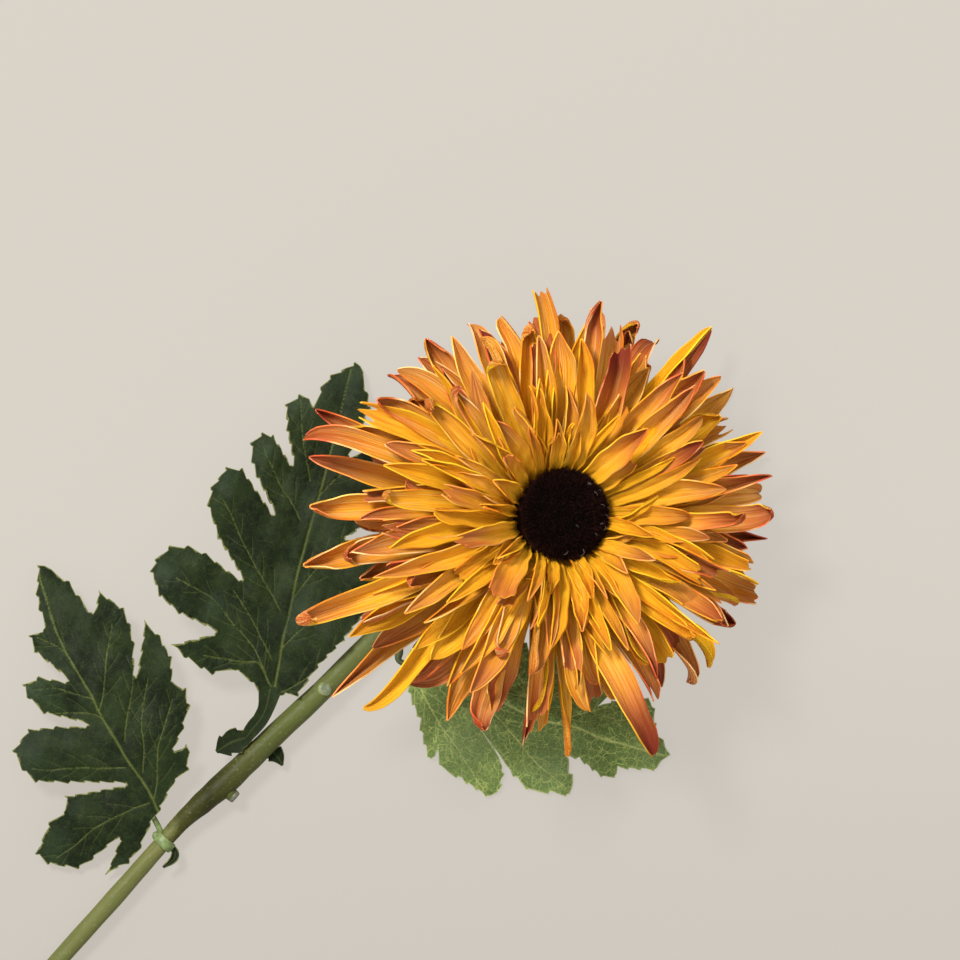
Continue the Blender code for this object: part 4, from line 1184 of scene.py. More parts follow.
@dataclass(frozen=True)
class Disc:
    """Flocked dome in the middle of the bloom, with a few pale threads caught in it."""

    bloom: Bloom
    radius: float = 10.4
    base: float = 15.9
    height: float = 5.5
    fibres: int = 15000
    fibre_length: tuple[float, float] = (0.8, 1.9)
    fibre_radius: float = 0.075
    threads: int = 14
    thread_radius: float = 0.035
    # How far the pile's middle is from the bloom's axis, in the plan.
    offset: Point = (1.1, 0.1, 0.0)
    seed: int = 4

    def surface(self, slope: Array, turn: Array) -> tuple[Array, Array]:
        """Places and outward directions on the dome, in the bloom's frame.

        Args:
            slope: angle from the flower's axis, 0 at the top.
            turn: angle round the axis.

        Returns:
            Points and directions.
        """
        flat, high = np.sin(slope), np.cos(slope)
        points = np.stack((self.radius * flat * np.cos(turn), self.radius * flat * np.sin(turn),
                           self.base + self.height * high), axis=1)
        outward = np.stack((flat * np.cos(turn) / self.radius, flat * np.sin(turn) / self.radius,
                            high / self.height), axis=1)
        return points, unit(outward)

    def dome(self) -> Piece:
        """Knobbly dome: a sphere cut level at its base and pressed to the dome's height."""
        piece = added("disc_dome", bpy.ops.mesh.primitive_uv_sphere_add, segments=96,
                      ring_count=60, radius=self.radius)
        edit(piece, partial(bpy.ops.mesh.bisect, plane_co=(0.0, 0.0, 0.0), use_fill=True,
                            plane_no=(0.0, 0.0, 1.0), clear_inner=True))
        places = corners(piece)
        draw = np.random.default_rng(self.seed)
        knobs = 1.0 + draw.uniform(-0.012, 0.012, len(places)) * (places[:, 2] > 0.1)
        places *= np.stack((knobs, knobs, knobs * self.height / self.radius), axis=1)
        places[:, 2] += self.base
        reshape(piece, self.bloom.to_plan(places))
        carry(piece, reach=0.0, tone=0.5)
        return piece

    def pile(self) -> Piece:
        """The pile: one thin three-sided spike, set many times over the dome."""
        spike = added("pile_spike", bpy.ops.mesh.primitive_cone_add, vertices=3, radius1=1.0,
                      radius2=0.0, depth=1.0, end_fill_type="NOTHING", location=(0.0, 0.0, 0.5))
        form = corners(spike)
        faces = np.array([list(face.vertices) for face in spike.data.polygons])
        bpy.data.objects.remove(spike, do_unlink=True)
        draw = np.random.default_rng(self.seed)
        slope = np.arccos(1.0 - draw.random(self.fibres) ** 0.92 * 1.02)
        root, outward = self.surface(slope, draw.uniform(0.0, TURN, self.fibres))
        lean = unit(outward + draw.normal(0.0, 0.30, outward.shape))
        side = unit(np.cross(lean, draw.normal(size=lean.shape)))
        other = np.cross(lean, side)
        length = draw.uniform(*self.fibre_length, self.fibres)
        points = root[:, None] - outward[:, None] * 0.15 + self.fibre_radius \
            * (side[:, None] * form[None, :, :1] + other[:, None] * form[None, :, 1:2]) \
            + lean[:, None] * form[None, :, 2:] * length[:, None, None]
        total = faces[None] + np.arange(self.fibres)[:, None, None] * len(form)
        piece = meshed("disc_pile", self.bloom.to_plan(points.reshape(-1, 3)),
                       total.reshape(-1, faces.shape[1]).tolist())
        carry(piece, reach=np.tile(form[:, 2], self.fibres),
              tone=np.repeat(draw.random(self.fibres) ** 5, len(form)))
        return piece

    def lint(self) -> Piece:
        """Pale threads lying on the pile."""
        draw = random.Random(self.seed)
        threads = []
        for index in range(self.threads):
            slope = np.array([math.acos(draw.uniform(0.35, 0.98))])
            turn = np.array([draw.uniform(-1.3, 1.1) if index % 3 else draw.uniform(0.0, 6.28)])
            (root,), (outward,) = self.surface(slope, turn)
            heading = unit(np.cross(outward, (draw.uniform(-1, 1), draw.uniform(-1, 1), 0.3)))
            length = draw.uniform(0.7, 1.6)
            shares = np.linspace(0.0, 1.0, 6)[:, None]
            line = self.bloom.to_plan(root + outward * 1.1 + heading * length * shares
                                      + outward * 0.35 * np.sin(math.pi * shares))
            threads.append(tube("thread", [(*place, self.thread_radius) for place in line], 4))
        return joined("disc_lint", threads)

    def build(self) -> None:
        """Make the dome, its pile and its threads."""
        flock = DiscFlock()
        pile = flock.pile()
        for piece, finish in ((self.dome(), pile), (self.pile(), pile),
                              (self.lint(), flock.lint())):
            reshape(piece, corners(piece) + np.array(self.offset))
            finished(piece, "dark_flock", "disc", finish=finish, angle_deg=0.0)


@dataclass(frozen=True)
class Calyx:
    """Green cup under the bloom, with two whorls of pointed bracts."""

    bloom: Bloom
    profile: Places = read("0.1,-3.35 12.2,-3.35 12,-4.6 11.2,-6.2 10,-7.6 8.4,-8.9 6.5,-9.8 "
                           "5.2,-10.8 4.4,-11.8 4,-13.2 3.8,-14.5 0.1,-14.5")
    bracts: int = 11
    # Turn in degrees, root radius and height, length and width of each whorl's bracts.
    whorls: Places = ((0.0, 7.4, -8.2, 8.6, 5.0), (16.0, 5.2, -10.2, 7.2, 4.4))

    def build(self) -> None:
        """Make the cup and its bracts."""
        finish = GreenPlastic("calyx plastic", (0.20, 0.28, 0.07), (0.07, 0.12, 0.03)).face()
        cup = lathed("calyx_cup", self.profile, 64, self.bloom)
        finished(cup, "calyx_plastic", "calyx", finish=finish, angle_deg=40.0)
        forms = [Petal(level=5, azimuth=360.0 * index / self.bracts + turn, root=root,
                       height=height, lift=42.0, tip_lift=10.0, length=length, width=width,
                       cup=0.35, sweep=0.0, twist=0.0, cut=PetalCut.POINTED, rib_height=0.12,
                       ripple=0.1)
                 for index in range(self.bracts)
                 for turn, root, height, length, width in self.whorls]
        PetalTailor(self.bloom).sew("calyx_bracts", forms, [finish] * 3, "calyx_plastic", "calyx")


# Stem

Peg = tuple[Point, Point, float, float, float, int]


@dataclass(frozen=True)
class Stem:
    """Stem from its cut end to the calyx, with its thicker stretch, its pegs and its stubs."""

    bloom: Bloom
    route: Route = read("""
-135,-153.7,2.15,2.15 -120,-136.8,2.4,2.15 -105.3,-120,2.8,2.2 -93.5,-106.8,3.2,2.25
-84,-96,3.4,2.15 -79.2,-90.6,3.5,2.05 -74.5,-85.3,3.6,2.25 -69.5,-80.8,3.8,2.8 -64,-76,4,3.15
-58.3,-70.5,4.2,3 -50.8,-63.3,4.3,2.8 -39.8,-53,4.3,2.7 -23.3,-36.6,4.2,2.6 -10,-25,3.9,2.5
-1.5,-18.6,3.7,2.4 4,-15,3.9,2.4 8.5,-12.5,5,2.4 11.2,-11,7.2,2.4
""")
    calyx_foot: tuple[float, float] = (3.8, -14.5)
    gap: float = 0.1
    sides: int = 40
    tints: Stops = (
        (0.0, 0.100, 0.113, 0.030), (0.33, 0.112, 0.122, 0.034), (0.378, 0.13, 0.135, 0.040),
        (0.405, 0.042, 0.044, 0.005), (0.454, 0.018, 0.0195, 0.001), (0.486, 0.034, 0.037, 0.0035),
        (0.531, 0.062, 0.070, 0.015), (0.60, 0.078, 0.092, 0.020), (0.80, 0.118, 0.145, 0.044),
        (1.0, 0.11, 0.14, 0.045))
    # Foot, direction, length, radii at foot and end, and sides. The leaves' stalks go on these.
    pegs: tuple[Peg, ...] = (
        ((-57.5, -69.6, 4.3), (-0.26, 0.96, 0.04), 5.3, 1.4, 1.1, 20),
        ((-21.6, -35.1, 4.2), (0.24, -0.97, -0.06), 4.6, 1.6, 1.25, 20))
    # Bare stubs with their worn ends; a stub without a finish has the stem's.
    stubs: tuple[tuple[str, Peg, GreenPlastic | None, tuple[str, ...]], ...] = (
        ("stem_side_stub", ((-65.0, -76.4, 4.0), (0.76, -0.65, 0.0), 4.9, 2.1, 1.55, 28), None,
         ("stem",)),
        ("stem_side_stub_end", ((-62.07, -78.9, 4.0), (0.76, -0.65, 0.0), 1.3, 1.72, 1.5, 28),
         GreenPlastic("worn stub end", (0.15, 0.155, 0.11), (0.06, 0.065, 0.04), 900.0), ()),
        ("stem_top_stub", ((-39.3, -52.4, 4.6), (0.22, 0.05, 0.97), 3.0, 2.1, 1.62, 32),
         GreenPlastic("stub rim", (0.30, 0.33, 0.13), (0.12, 0.14, 0.05)), ("stem",)),
        ("stem_top_stub_face", ((-38.66, -52.25, 7.45), (0.22, 0.05, 0.97), 0.2, 1.25, 1.2, 32),
         GreenPlastic("stub scar", (0.24, 0.28, 0.19), (0.11, 0.14, 0.08), 700.0), ()))
    side_stub_share: float = 0.53
    # Unevenness of the moulding: share of the radius, waves round the stem and along it.
    waves: Places = ((0.012, 3.0, 40.0), (0.010, 2.0, -95.0), (0.012, 0.0, 151.0))

    def peg(self, place: Point, direction: Point, length: float, foot: float, end: float,
            sides: int) -> Piece:
        """Short rounded peg out of the stem.

        Args:
            place: its foot.
            direction: where it points.
            length: its length.
            foot: radius at its foot.
            end: radius at its end.
            sides: faces round it.

        Returns:
            The peg, in the plan.
        """
        way = Vector(direction).normalized()
        turn = Vector((0.0, 0.0, 1.0)).rotation_difference(way)
        piece = added("peg", bpy.ops.mesh.primitive_cone_add, vertices=sides, radius1=foot,
                      radius2=end, depth=length, location=Vector(place) + way * length / 2.0,
                      rotation=turn.to_euler())
        modified(piece, "BEVEL", width=0.35, segments=3, angle_limit=math.radians(50.0))
        return piece

    def swell(self, turn: Array, share: Array) -> Array:
        """Faint unevenness of the moulding."""
        return sum(rise * np.sin(across * turn + along * share)
                   for rise, across, along in self.waves)

    def build(self) -> None:
        """Make the stem with its pegs, and its two bare stubs."""
        radius, foot = self.calyx_foot
        top = (*self.bloom.on_axis(foot - self.gap), 0.7 * radius)
        rod = tube("stem_rod", smooth_route((*self.route, top), 8), self.sides, self.swell)
        low, high = np.sort(corners(rod)[:, 0])[[0, -1]]
        stem = joined("stem_rod", [rod, *(self.peg(*peg) for peg in self.pegs)])
        carry(stem, share=(corners(stem)[:, 0] - low) / (high - low))
        finish = StemPlastic(self.tints).face()
        finished(stem, "stem_plastic", "stem", finish=finish, angle_deg=50.0)
        for name, peg, plastic, nodes in self.stubs:
            stub = rename(self.peg(*peg), name)
            if not plastic:
                carry(stub, share=self.side_stub_share)
            finished(stub, "stem_plastic", *nodes, finish=plastic.face() if plastic else finish,
                     angle_deg=50.0)


# Leaves


@dataclass(frozen=True)
class Leaf:
    """One lobed leaf: a toothed blade, arched over its stalk, with its veins."""

    node: str
    base: tuple[float, float]
    heading: float
    length: float
    # Height of the blade's underside at its base, middle and tip.
    height: Point
    fall: float
    wave: float
    rests: bool
    cloth: LeafCloth
    # Outline on the leaf, along and across it.
    outline: Places
    # Veins in the plan, each from the midrib outwards; the first is the midrib.
    veins: str
    # Bowed patches: X and Y in the plan, radius, how far they rise or sink.
    bows: Places
    # Patches of painted sheen, where the curled lobes catch a grey-green reflection: X and Y in the
    # plan, radius.
    hazes: Places
    spacing: float = 0.95
    thickness: float = 0.42
    tooth_spacing: float = 3.0
    tooth_depth: float = 0.6
    # Most of the way across a notch that a tooth may take.
    tooth_room: float = 0.2
    rim_width: float = 0.34
    # Half the widths of the midrib and of the main veins; side veins are thinner.
    vein_width: tuple[float, float] = (0.50, 0.30)
    side_vein_spacing: float = 2.9
    side_vein_strength: float = 0.42
    side_vein_turn_deg: float = 38.0
    side_vein_length: float = 7.5
    vein_sink: float = 0.28
    # Crinkles of the blade: height, then waves across the plan, along X and Y, one way and another.
    crinkles: Places = ((0.14, 1.9, 0.7, 1.6, 0.5), (0.30, 0.62, 0.25, 0.55, 0.2))
    # Spot that rests flat: place along and across the leaf, radius, ease.
    rest_spot: tuple[float, ...] = (41.0, 13.0, 5.2, 6.0)
    middle_height: float = 0.45

    def _mirror(self) -> Array:
        """Turn between the leaf's directions and the plan's; it is its own inverse."""
        turn = math.radians(self.heading)
        return np.array(((math.cos(turn), math.sin(turn)), (math.sin(turn), -math.cos(turn))))

    def to_plan(self, places: Array) -> Array:
        """Places on the leaf, along and across it, in the plan."""
        return places @ self._mirror() + np.array(self.base)

    def to_leaf(self, places: Array) -> Array:
        """Places of the plan on the leaf."""
        return (places - np.array(self.base)) @ self._mirror()

    def underside(self, along: Array, across: Array) -> Array:
        """Height of the blade's underside, as in the part.

        Args:
            along: places along the leaf.
            across: places across it.

        Returns:
            Heights in the plan.
        """
        share = np.clip(along / self.length, -0.1, 1.05)
        base, middle, tip = self.height
        hump = 2 * (2 * middle - 0.5 * (base + tip))
        arch = base * (1 - share) ** 2 + hump * share * (1 - share) + tip * share ** 2
        aside = np.abs(across)
        wave = self.wave * np.sin(along * 0.33 + across * 0.12) * np.minimum(1.0, aside / 10.0)
        height = np.maximum(0.0, arch - self.fall * aside + wave)
        if self.rests:
            spot_along, spot_across, radius, ease = self.rest_spot
            away = np.hypot(along - spot_along, across - spot_across) - radius
            height = height * np.clip(away / ease, 0.0, 1.0)
        return height

    def edge(self) -> Array:
        """Toothed outline, each tooth a slow rise and a sharp drop; the blade's tip has none."""
        points = []
        for start, end in zip(self.outline, (*self.outline[1:], self.outline[0])):
            way = np.array(end) - start
            span = math.hypot(*way)
            out = np.array((-way[1], way[0])) / span
            at_tip = (self.length, 0.0) in (start, end) and span < 5.0
            teeth = 0 if at_tip else int(span / self.tooth_spacing)
            depth = self.tooth_depth if teeth else (-0.3 if at_tip else 0.1) * span
            profile = ((0.3, 0.5), (0.62, 0.92), (0.8, 1.15), (0.88, 0.35)) if teeth \
                else ((0.5, 0.35),)
            points.append(start)
            for tooth in range(max(teeth, 1)):
                for place, rise in profile:
                    share = (tooth + place) / max(teeth, 1)
                    if share < 0.97:
                        spot = start + way * share
                        most = self.tooth_room * self.free_way(spot, out)
                        points.append(spot + out * min(depth * rise, most))
        return np.array(points)

    def free_way(self, spot: Array, out: Array) -> float:
        """How far it is, straight out of the outline, to another side of a notch.

        Args:
            spot: place on the outline.
            out: direction out of the leaf.

        Returns:
            The distance; 100 where nothing is met.
        """
        start = np.array(self.outline)
        way = np.roll(start, -1, axis=0) - start
        turn = out[0] * way[:, 1] - out[1] * way[:, 0]
        turn = np.where(np.abs(turn) < 1e-6, 1e-6, turn)
        apart = start - spot
        reach = (apart[:, 0] * way[:, 1] - apart[:, 1] * way[:, 0]) / turn
        place = (apart[:, 0] * out[1] - apart[:, 1] * out[0]) / turn
        met = reach[(reach > 1e-3) & (place >= 0.0) & (place <= 1.0)]
        return float(met.min()) if len(met) else 100.0

    def vein_lines(self) -> list[tuple[Array, float, float]]:
        """Main veins and the side veins that leave them, on the leaf, with width and strength."""
        lines = []
        shares = np.linspace(0.0, 1.0, 13)[:, None]
        for index, vein in enumerate(self.veins.split("|")):
            main = self.to_leaf(np.array(read(vein)))
            steps = max(2, int(np.linalg.norm(np.diff(main, axis=0), axis=1).max() / 0.9))
            line = np.array(smooth_route(main, steps))
            lines.append((line, self.vein_width[min(index, 1)] * 1.25, 0.75 if index else 0.85))
            reach = np.cumsum(np.linalg.norm(np.diff(line, axis=0), axis=1))
            for step in range(1, int(reach[-1] / self.side_vein_spacing) + 1 if index else 0):
                at = step * self.side_vein_spacing
                spot = int(np.searchsorted(reach, at)) + 1
                if spot >= len(line) - 1:
                    continue
                ahead = unit(line[spot + 1] - line[spot - 1])
                hand = 1.0 if step % 2 else -1.0
                turn = math.radians(self.side_vein_turn_deg) * hand
                way = np.array((ahead[0] * math.cos(turn) - ahead[1] * math.sin(turn),
                                ahead[0] * math.sin(turn) + ahead[1] * math.cos(turn)))
                span = self.side_vein_length * (1.0 - 0.5 * at / reach[-1])
                bend = np.array((-way[1], way[0])) * -hand * span * 0.14
                lines.append((line[spot] + way * span * shares + bend * shares ** 2,
                              self.vein_width[1], self.side_vein_strength))
        return lines

    @staticmethod
    def inside(points: Array, ring: Array) -> Array:
        """Find the points inside an outline.

        Args:
            points: the points.
            ring: the closed outline.

        Returns:
            Which points are inside.
        """
        x, y = points.T
        within = np.zeros(len(points), bool)
        for (a, b), (c, d) in zip(ring, np.roll(ring, -1, axis=0)):
            with np.errstate(divide="ignore", invalid="ignore"):
                within ^= ((b > y) != (d > y)) & (x < a + (y - b) * (c - a) / (d - b))
        return within

    @staticmethod
    def distance(points: Array, line: Array) -> Array:
        """Measure points from a line of short stretches.

        Args:
            points: the points.
            line: the line's points.

        Returns:
            Each point's distance.
        """
        nearest = np.full(len(points), np.inf)
        for start, end in zip(line, line[1:]):
            way = end - start
            share = np.clip((points - start) @ way / max(way @ way, 1e-9), 0.0, 1.0)
            apart = points - start - share[:, None] * way
            nearest = np.minimum(nearest, np.linalg.norm(apart, axis=1))
        return nearest

    def corners(self, ring: Array, lines: Sequence[tuple[Array, float, float]]) -> Array:
        """Corners of the blade's faces: its outline, rows along that and the veins, and a grid.

        Args:
            ring: the toothed outline.
            lines: the veins, with width and strength.

        Returns:
            The outline's points, then the others, on the leaf.
        """
        rows = [(ring, unit(np.roll(ring, -1, axis=0) - np.roll(ring, 1, axis=0)), self.rim_width)]
        rows.extend((line, unit(np.gradient(line, axis=0)), width) for line, width, _ in lines)
        seeds = []
        for line, way, width in rows:
            across = np.stack((-way[:, 1], way[:, 0]), axis=1) * width
            seeds.extend((line, line + across, line - across)[0 if seeds else 1:])
        low, high = ring.min(0), ring.max(0)
        mesh_x, mesh_y = np.meshgrid(np.arange(low[0], high[0], self.spacing),
                                     np.arange(low[1], high[1], self.spacing * 0.87))
        mesh_x[1::2] += self.spacing / 2.0
        seeds.append(np.stack((mesh_x.ravel(), mesh_y.ravel()), axis=1))
        loose = np.concatenate(seeds)
        loose = loose[self.inside(loose, ring)]
        loose = loose[self.distance(loose, np.concatenate((ring, ring[:1]))) > 0.25]
        return np.concatenate((ring, loose))

    def blade(self) -> Piece:
        """Blade split finely along its outline and its veins, and shaped by its veins and bows."""
        ring, lines = self.edge(), self.vein_lines()
        places, _, faces, *_ = delaunay_2d_cdt(
            [Vector(point) for point in self.corners(ring, lines)], [], [list(range(len(ring)))],
            1, 0.05)
        flat = np.array([tuple(place) for place in places])
        along, across = flat.T
        taper = np.clip(1.15 - 0.6 * along / self.length, 0.5, 1.15)
        vein = np.zeros(len(flat))
        for line, width, strength in lines:
            vein = np.maximum(vein, strength * (1.0 - self.distance(flat, line) / (width * taper)))
        vein = np.clip(vein, 0.0, 1.0)
        x, y = self.to_plan(flat).T

        def patch(spot_x: float, spot_y: float, radius: float) -> Array:
            """How much a round patch of the plan counts at each corner."""
            return np.exp(-((x - spot_x) ** 2 + (y - spot_y) ** 2) / radius ** 2)

        height = self.underside(along, across) + self.middle_height - self.vein_sink * vein
        for *spot, rise in self.bows:
            height += rise * patch(*spot)
        for rise, a, b, c, d in self.crinkles:
            height += rise * np.sin(x * a + y * b) * np.sin(y * c - x * d)
        height = np.maximum(height, self.thickness / 2.0 + 0.02)
        piece = meshed(self.node + "_blade", np.stack((x, y, height), axis=1),
                       [list(face) for face in faces])
        layer = piece.data.uv_layers.new(name="UVMap")
        loops = np.empty(len(piece.data.loops), int)
        piece.data.loops.foreach_get("vertex_index", loops)
        layer.data.foreach_set("uv", (flat[loops] / 100.0).ravel())
        rim = self.distance(flat, np.concatenate((ring, ring[:1])))
        carry(piece, vein=vein, haze=np.maximum.reduce([patch(*spot) for spot in self.hazes]),
              edge=np.clip(1.0 - rim / self.rim_width, 0.0, 1.0))
        face_up(piece, bpy.ops.mesh.delete_loose, SELECT_ALL)
        return piece

    def build(self) -> None:
        """Make the blade and give it its cloth."""
        self.cloth.finish(self.blade(), self.thickness, self.node)


DARK_CLOTH = LeafCloth(
    "dark leaf cloth", "dark_leaf_cloth", deep=(0.0045, 0.0095, 0.0025),
    mid=(0.0130, 0.0230, 0.0060), vein=(0.095, 0.118, 0.028), net=(0.034, 0.050, 0.012),
    net_share=0.30, haze=(0.032, 0.050, 0.026), back_tint=(0.045, 0.068, 0.026),
    rim=(0.24, 0.25, 0.08))
PALE_CLOTH = LeafCloth(
    "pale leaf cloth", "pale_leaf_cloth", deep=(0.088, 0.138, 0.036), mid=(0.128, 0.188, 0.054),
    vein=(0.46, 0.51, 0.17), net=(0.37, 0.43, 0.13), net_share=0.62, haze=(0.15, 0.21, 0.09),
    back_tint=(0.26, 0.33, 0.18), rim=(0.42, 0.45, 0.22))
LOWER_LEAF = Leaf(
    "lower_leaf", base=(-80.0, -88.2), heading=114.9, length=73.6,
    height=(5.6, 10.5, 3.0), fall=0.16, wave=0.7, rests=False, cloth=DARK_CLOTH,
    outline=read("""
2.4,-1.6 -1.6,-6 -3.9,-10.6 -3.9,-17.2 3.2,-9.8 .8,-18.4 .1,-22.8 4.5,-29.3 8.3,-30.9 14.1,-24.3
15.2,-19.1 18.5,-17.9 14.6,-2.3 20.8,-15.7 24.5,-23.1 28.8,-24.7 34.2,-24.9 37.5,-19 35.2,-12.3
32,-4.7 39.2,-13.8 44.6,-15.9 48.1,-15.7 48.3,-10.9 44,-4.6 54.1,-9.6 58.6,-9.2 58.6,-4.5
63.4,-4.2 67.1,-3.3 73.6,0 71.2,2.8 66.5,5.8 61.9,6.7 56.7,7.9 61.6,11.5 54.8,15.5 50.2,15.3
45.5,14.2 37.7,10.9 50,18.8 44.7,20.7 38.6,21.3 32.3,18.9 30.1,21.2 25.6,20.2 21.1,16.4 16.9,11.7
17.4,15.3 15.2,15.3 11.2,13.2 9.6,8.3 5.1,2.6
"""), veins="""
-80.3,-83.5 -83,-77.5 -88,-70 -95,-58 -97,-53.8 -102,-45.5 -106,-37.5 -110.5,-23.5 |
-83,-80.8 -87.5,-82.5 -96.3,-87 -101.3,-91.3 -106,-94.5 |
-88.5,-71.8 -95,-72 -101,-71.8 -107.5,-72.5 -112,-72 |
-94.5,-59.5 -97,-58.3 -103,-58.2 -111,-58.6 |
-97,-54.5 -101.5,-53.3 -106,-52 -112,-52.5 |
-101.3,-46 -105,-42 -110.5,-39.5 |
-88.8,-65 -88.3,-60 -87,-52.5 -86.5,-46.5 |
-84.3,-73 -84,-66.3 -84.5,-60 -83,-49.5 |
-81.5,-79.5 -80.8,-75 -80.5,-67.5 -78.8,-61.3 -77,-55 |
-95,-57.5 -94,-52.5 -93.3,-45 -92,-36
""", bows=read("""
-113,-70,6,1.2 -109,-53,5,1 -105,-92,6,.8 -79.5,-60,5,1.5 -91,-45,5,1.3
"""), hazes=read("""
-114.5,-71,6.5 -111.5,-53,5 -107,-91.5,4
"""))
MIDDLE_LEAF = Leaf(
    "middle_leaf", base=(-52.7, -57.5), heading=76.3, length=89.6,
    height=(5.6, 9.0, 0.0), fall=-0.1, wave=0.8, rests=False, cloth=DARK_CLOTH,
    outline=read("""
2.4,-2.7 5.9,-6.6 7.6,-11.1 5.1,-15.9 6.1,-19.2 7.8,-23.8 10.2,-27.7 15.9,-17.3 18,-27.6
21.2,-33.5 26.7,-37.1 29.9,-36.6 34.2,-33.8 35.3,-29.2 34.5,-24.4 30,-14 38.5,-22.5 46.1,-27.2
50.7,-27.3 56.5,-24.9 57.2,-20.7 47.7,-10.1 55.8,-17 59.2,-19.1 63.7,-20.5 67.1,-18.2 67.1,-15.1
60.7,-8.6 69,-12.5 75,-14.4 78.5,-11.5 77.9,-8.7 76.2,-7.3 81.5,-6.8 85,-5.1 89.6,0 87.7,2.8
82.4,5.4 79.4,6.9 66,4.7 74.4,11.7 72.4,18.1 64.3,21.1 57.4,19.2 45.8,8.4 51.5,19.1 48,25.8
41.2,26.2 35.5,20.9 21.5,14.3 13.1,9.4 4.9,6.3 4.2,2.3
"""), veins="""
-53.5,-57 -52,-55 -50.5,-47.5 -49.3,-40 -47.5,-32.5 -46,-25 -44,-17.5 -42,-10 -38.8,1.3 -36,12.5
-32.5,27.5 |
-53,-50.8 -55.5,-45.8 -60,-45.3 -69,-43.8 |
-52.5,-51.3 -54.5,-46.3 -57,-41.3 -61.3,-36.3 -66.3,-30 -70,-27.5 -75.5,-24.5 |
-52,-45 -55,-38.8 -58,-33 -61.5,-27.5 |
-50,-32.5 -52,-28.8 -56.3,-21.3 -59.5,-15 -62,-8.8 -64,-5 |
-45,-10 -47.5,-5 -50,-1.3 -54,8 |
-42.5,0 -44.3,10 -45,20 |
-50,-42.5 -46.3,-38.8 -42.5,-35.5 -36,-31 |
-51.3,-53.8 -47.5,-52 -42.5,-48.8 -36,-42 |
-46.5,-29.3 -44.3,-26.3 -40,-21.3 -32,-13 |
-40,-3.8 -36.3,0 -31,3.5
""", bows=read("""
-73,-24,6,1.6 -79,-20,5,-1.2 -62,-5,5,1.4 -53,6,4.5,1.4 -44,17,4.5,1.4 -34,22,6,1.2
-50.5,-22,4.5,-1 -66,-44,5,-.8
"""), hazes=read("""
-80,-21.5,4.5 -64,1.5,4 -55,7.5,3.5 -45.5,20.5,4.5 -33.5,25,4.5 -41.5,-8,3.5 -44.5,-32,4
-66,-31,3.5 -47.5,-36,3.5
"""))
UPPER_LEAF = Leaf(
    "upper_leaf", base=(-20.0, -45.5), heading=-19.1, length=71.7,
    height=(4.6, 5.6, 1.2), fall=0.28, wave=0.4, rests=True, cloth=PALE_CLOTH,
    outline=read("""
5.3,6.9 9.6,11.7 11.3,15.1 15.4,20.6 16.1,17.4 18.9,21.7 23.9,22.4 32.3,24.5 33.7,23.2 33.1,17.6
30.7,14.1 25.1,9.8 37.1,17.8 41.7,19.7 46.6,18.3 51,17.5 51,15.1 49.1,12.6 46.5,8.2 50.4,7.9
57.8,10.4 60.5,8.9 60.1,6.9 69.5,4.2 71.7,0 68.8,-3 66.3,-3.4 63.2,-10 60.9,-11.3 50.5,-5.6
51.7,-10.3 51.5,-13.4 46.4,-17.4 42.9,-17.5 37.2,-14.8 32.5,-3.9 30.1,-12.3 24.5,-17 18,-16.8
14.7,-10.9 15.1,-3.7 9.6,-6.5 4.8,-5.4 1.3,-2.3
"""), veins="""
-19,-45.9 -10,-49 0,-52.5 12.5,-59 24,-62 30,-64.5 36.3,-66.3 46,-69 |
-17.5,-46.8 -14.5,-53 -12.5,-57 -10,-61.3 -6.3,-66.3 -3.8,-70.5 1,-78 |
-3,-51.8 3.8,-58.8 8.8,-64.5 12.5,-69.3 16.3,-73 21,-76.8 |
19,-60.8 24,-59 30,-57.5 40,-55.5 |
10,-58 17,-54.5 24,-51.5 31,-49 |
2,-53.5 14,-50 26,-46.5
""", bows=read("""
5,-63,5,.7 -8,-60,5,.5 32,-63,5,.6
"""), hazes=read("""
-3,-66,7 18,-72,6 44,-68,4
"""), side_vein_strength=0.55, tooth_spacing=2.6, tooth_depth=0.75)


@dataclass(frozen=True)
class LeafStalk:
    """A leaf's stalk, from its peg or collar to the end of its rib under the blade."""

    name: str
    leaf: Leaf
    foot: Route
    end_share: float
    slot: str
    finish: GreenPlastic
    rib_radius: tuple[float, float] = (0.75, 0.35)
    rib_stations: int = 10
    under_blade: float = 0.4

    def route(self) -> list[tuple[float, ...]]:
        """Stations of the stalk and its rib."""
        stations = list(self.foot)
        wide, thin = self.rib_radius
        for share in (step / (self.rib_stations - 1) for step in range(self.rib_stations)):
            radius = wide + (thin - wide) * share
            place = np.array((share * self.end_share * self.leaf.length, 0.0))
            height = self.leaf.underside(*place) - self.under_blade - radius
            stations.append((*self.leaf.to_plan(place), float(height), radius))
        return stations

    def build(self) -> None:
        """Make the stalk."""
        finished(tube(self.name, smooth_route(self.route(), 6), 16), self.slot,
                 self.leaf.node + "_stalk", finish=self.finish.face())


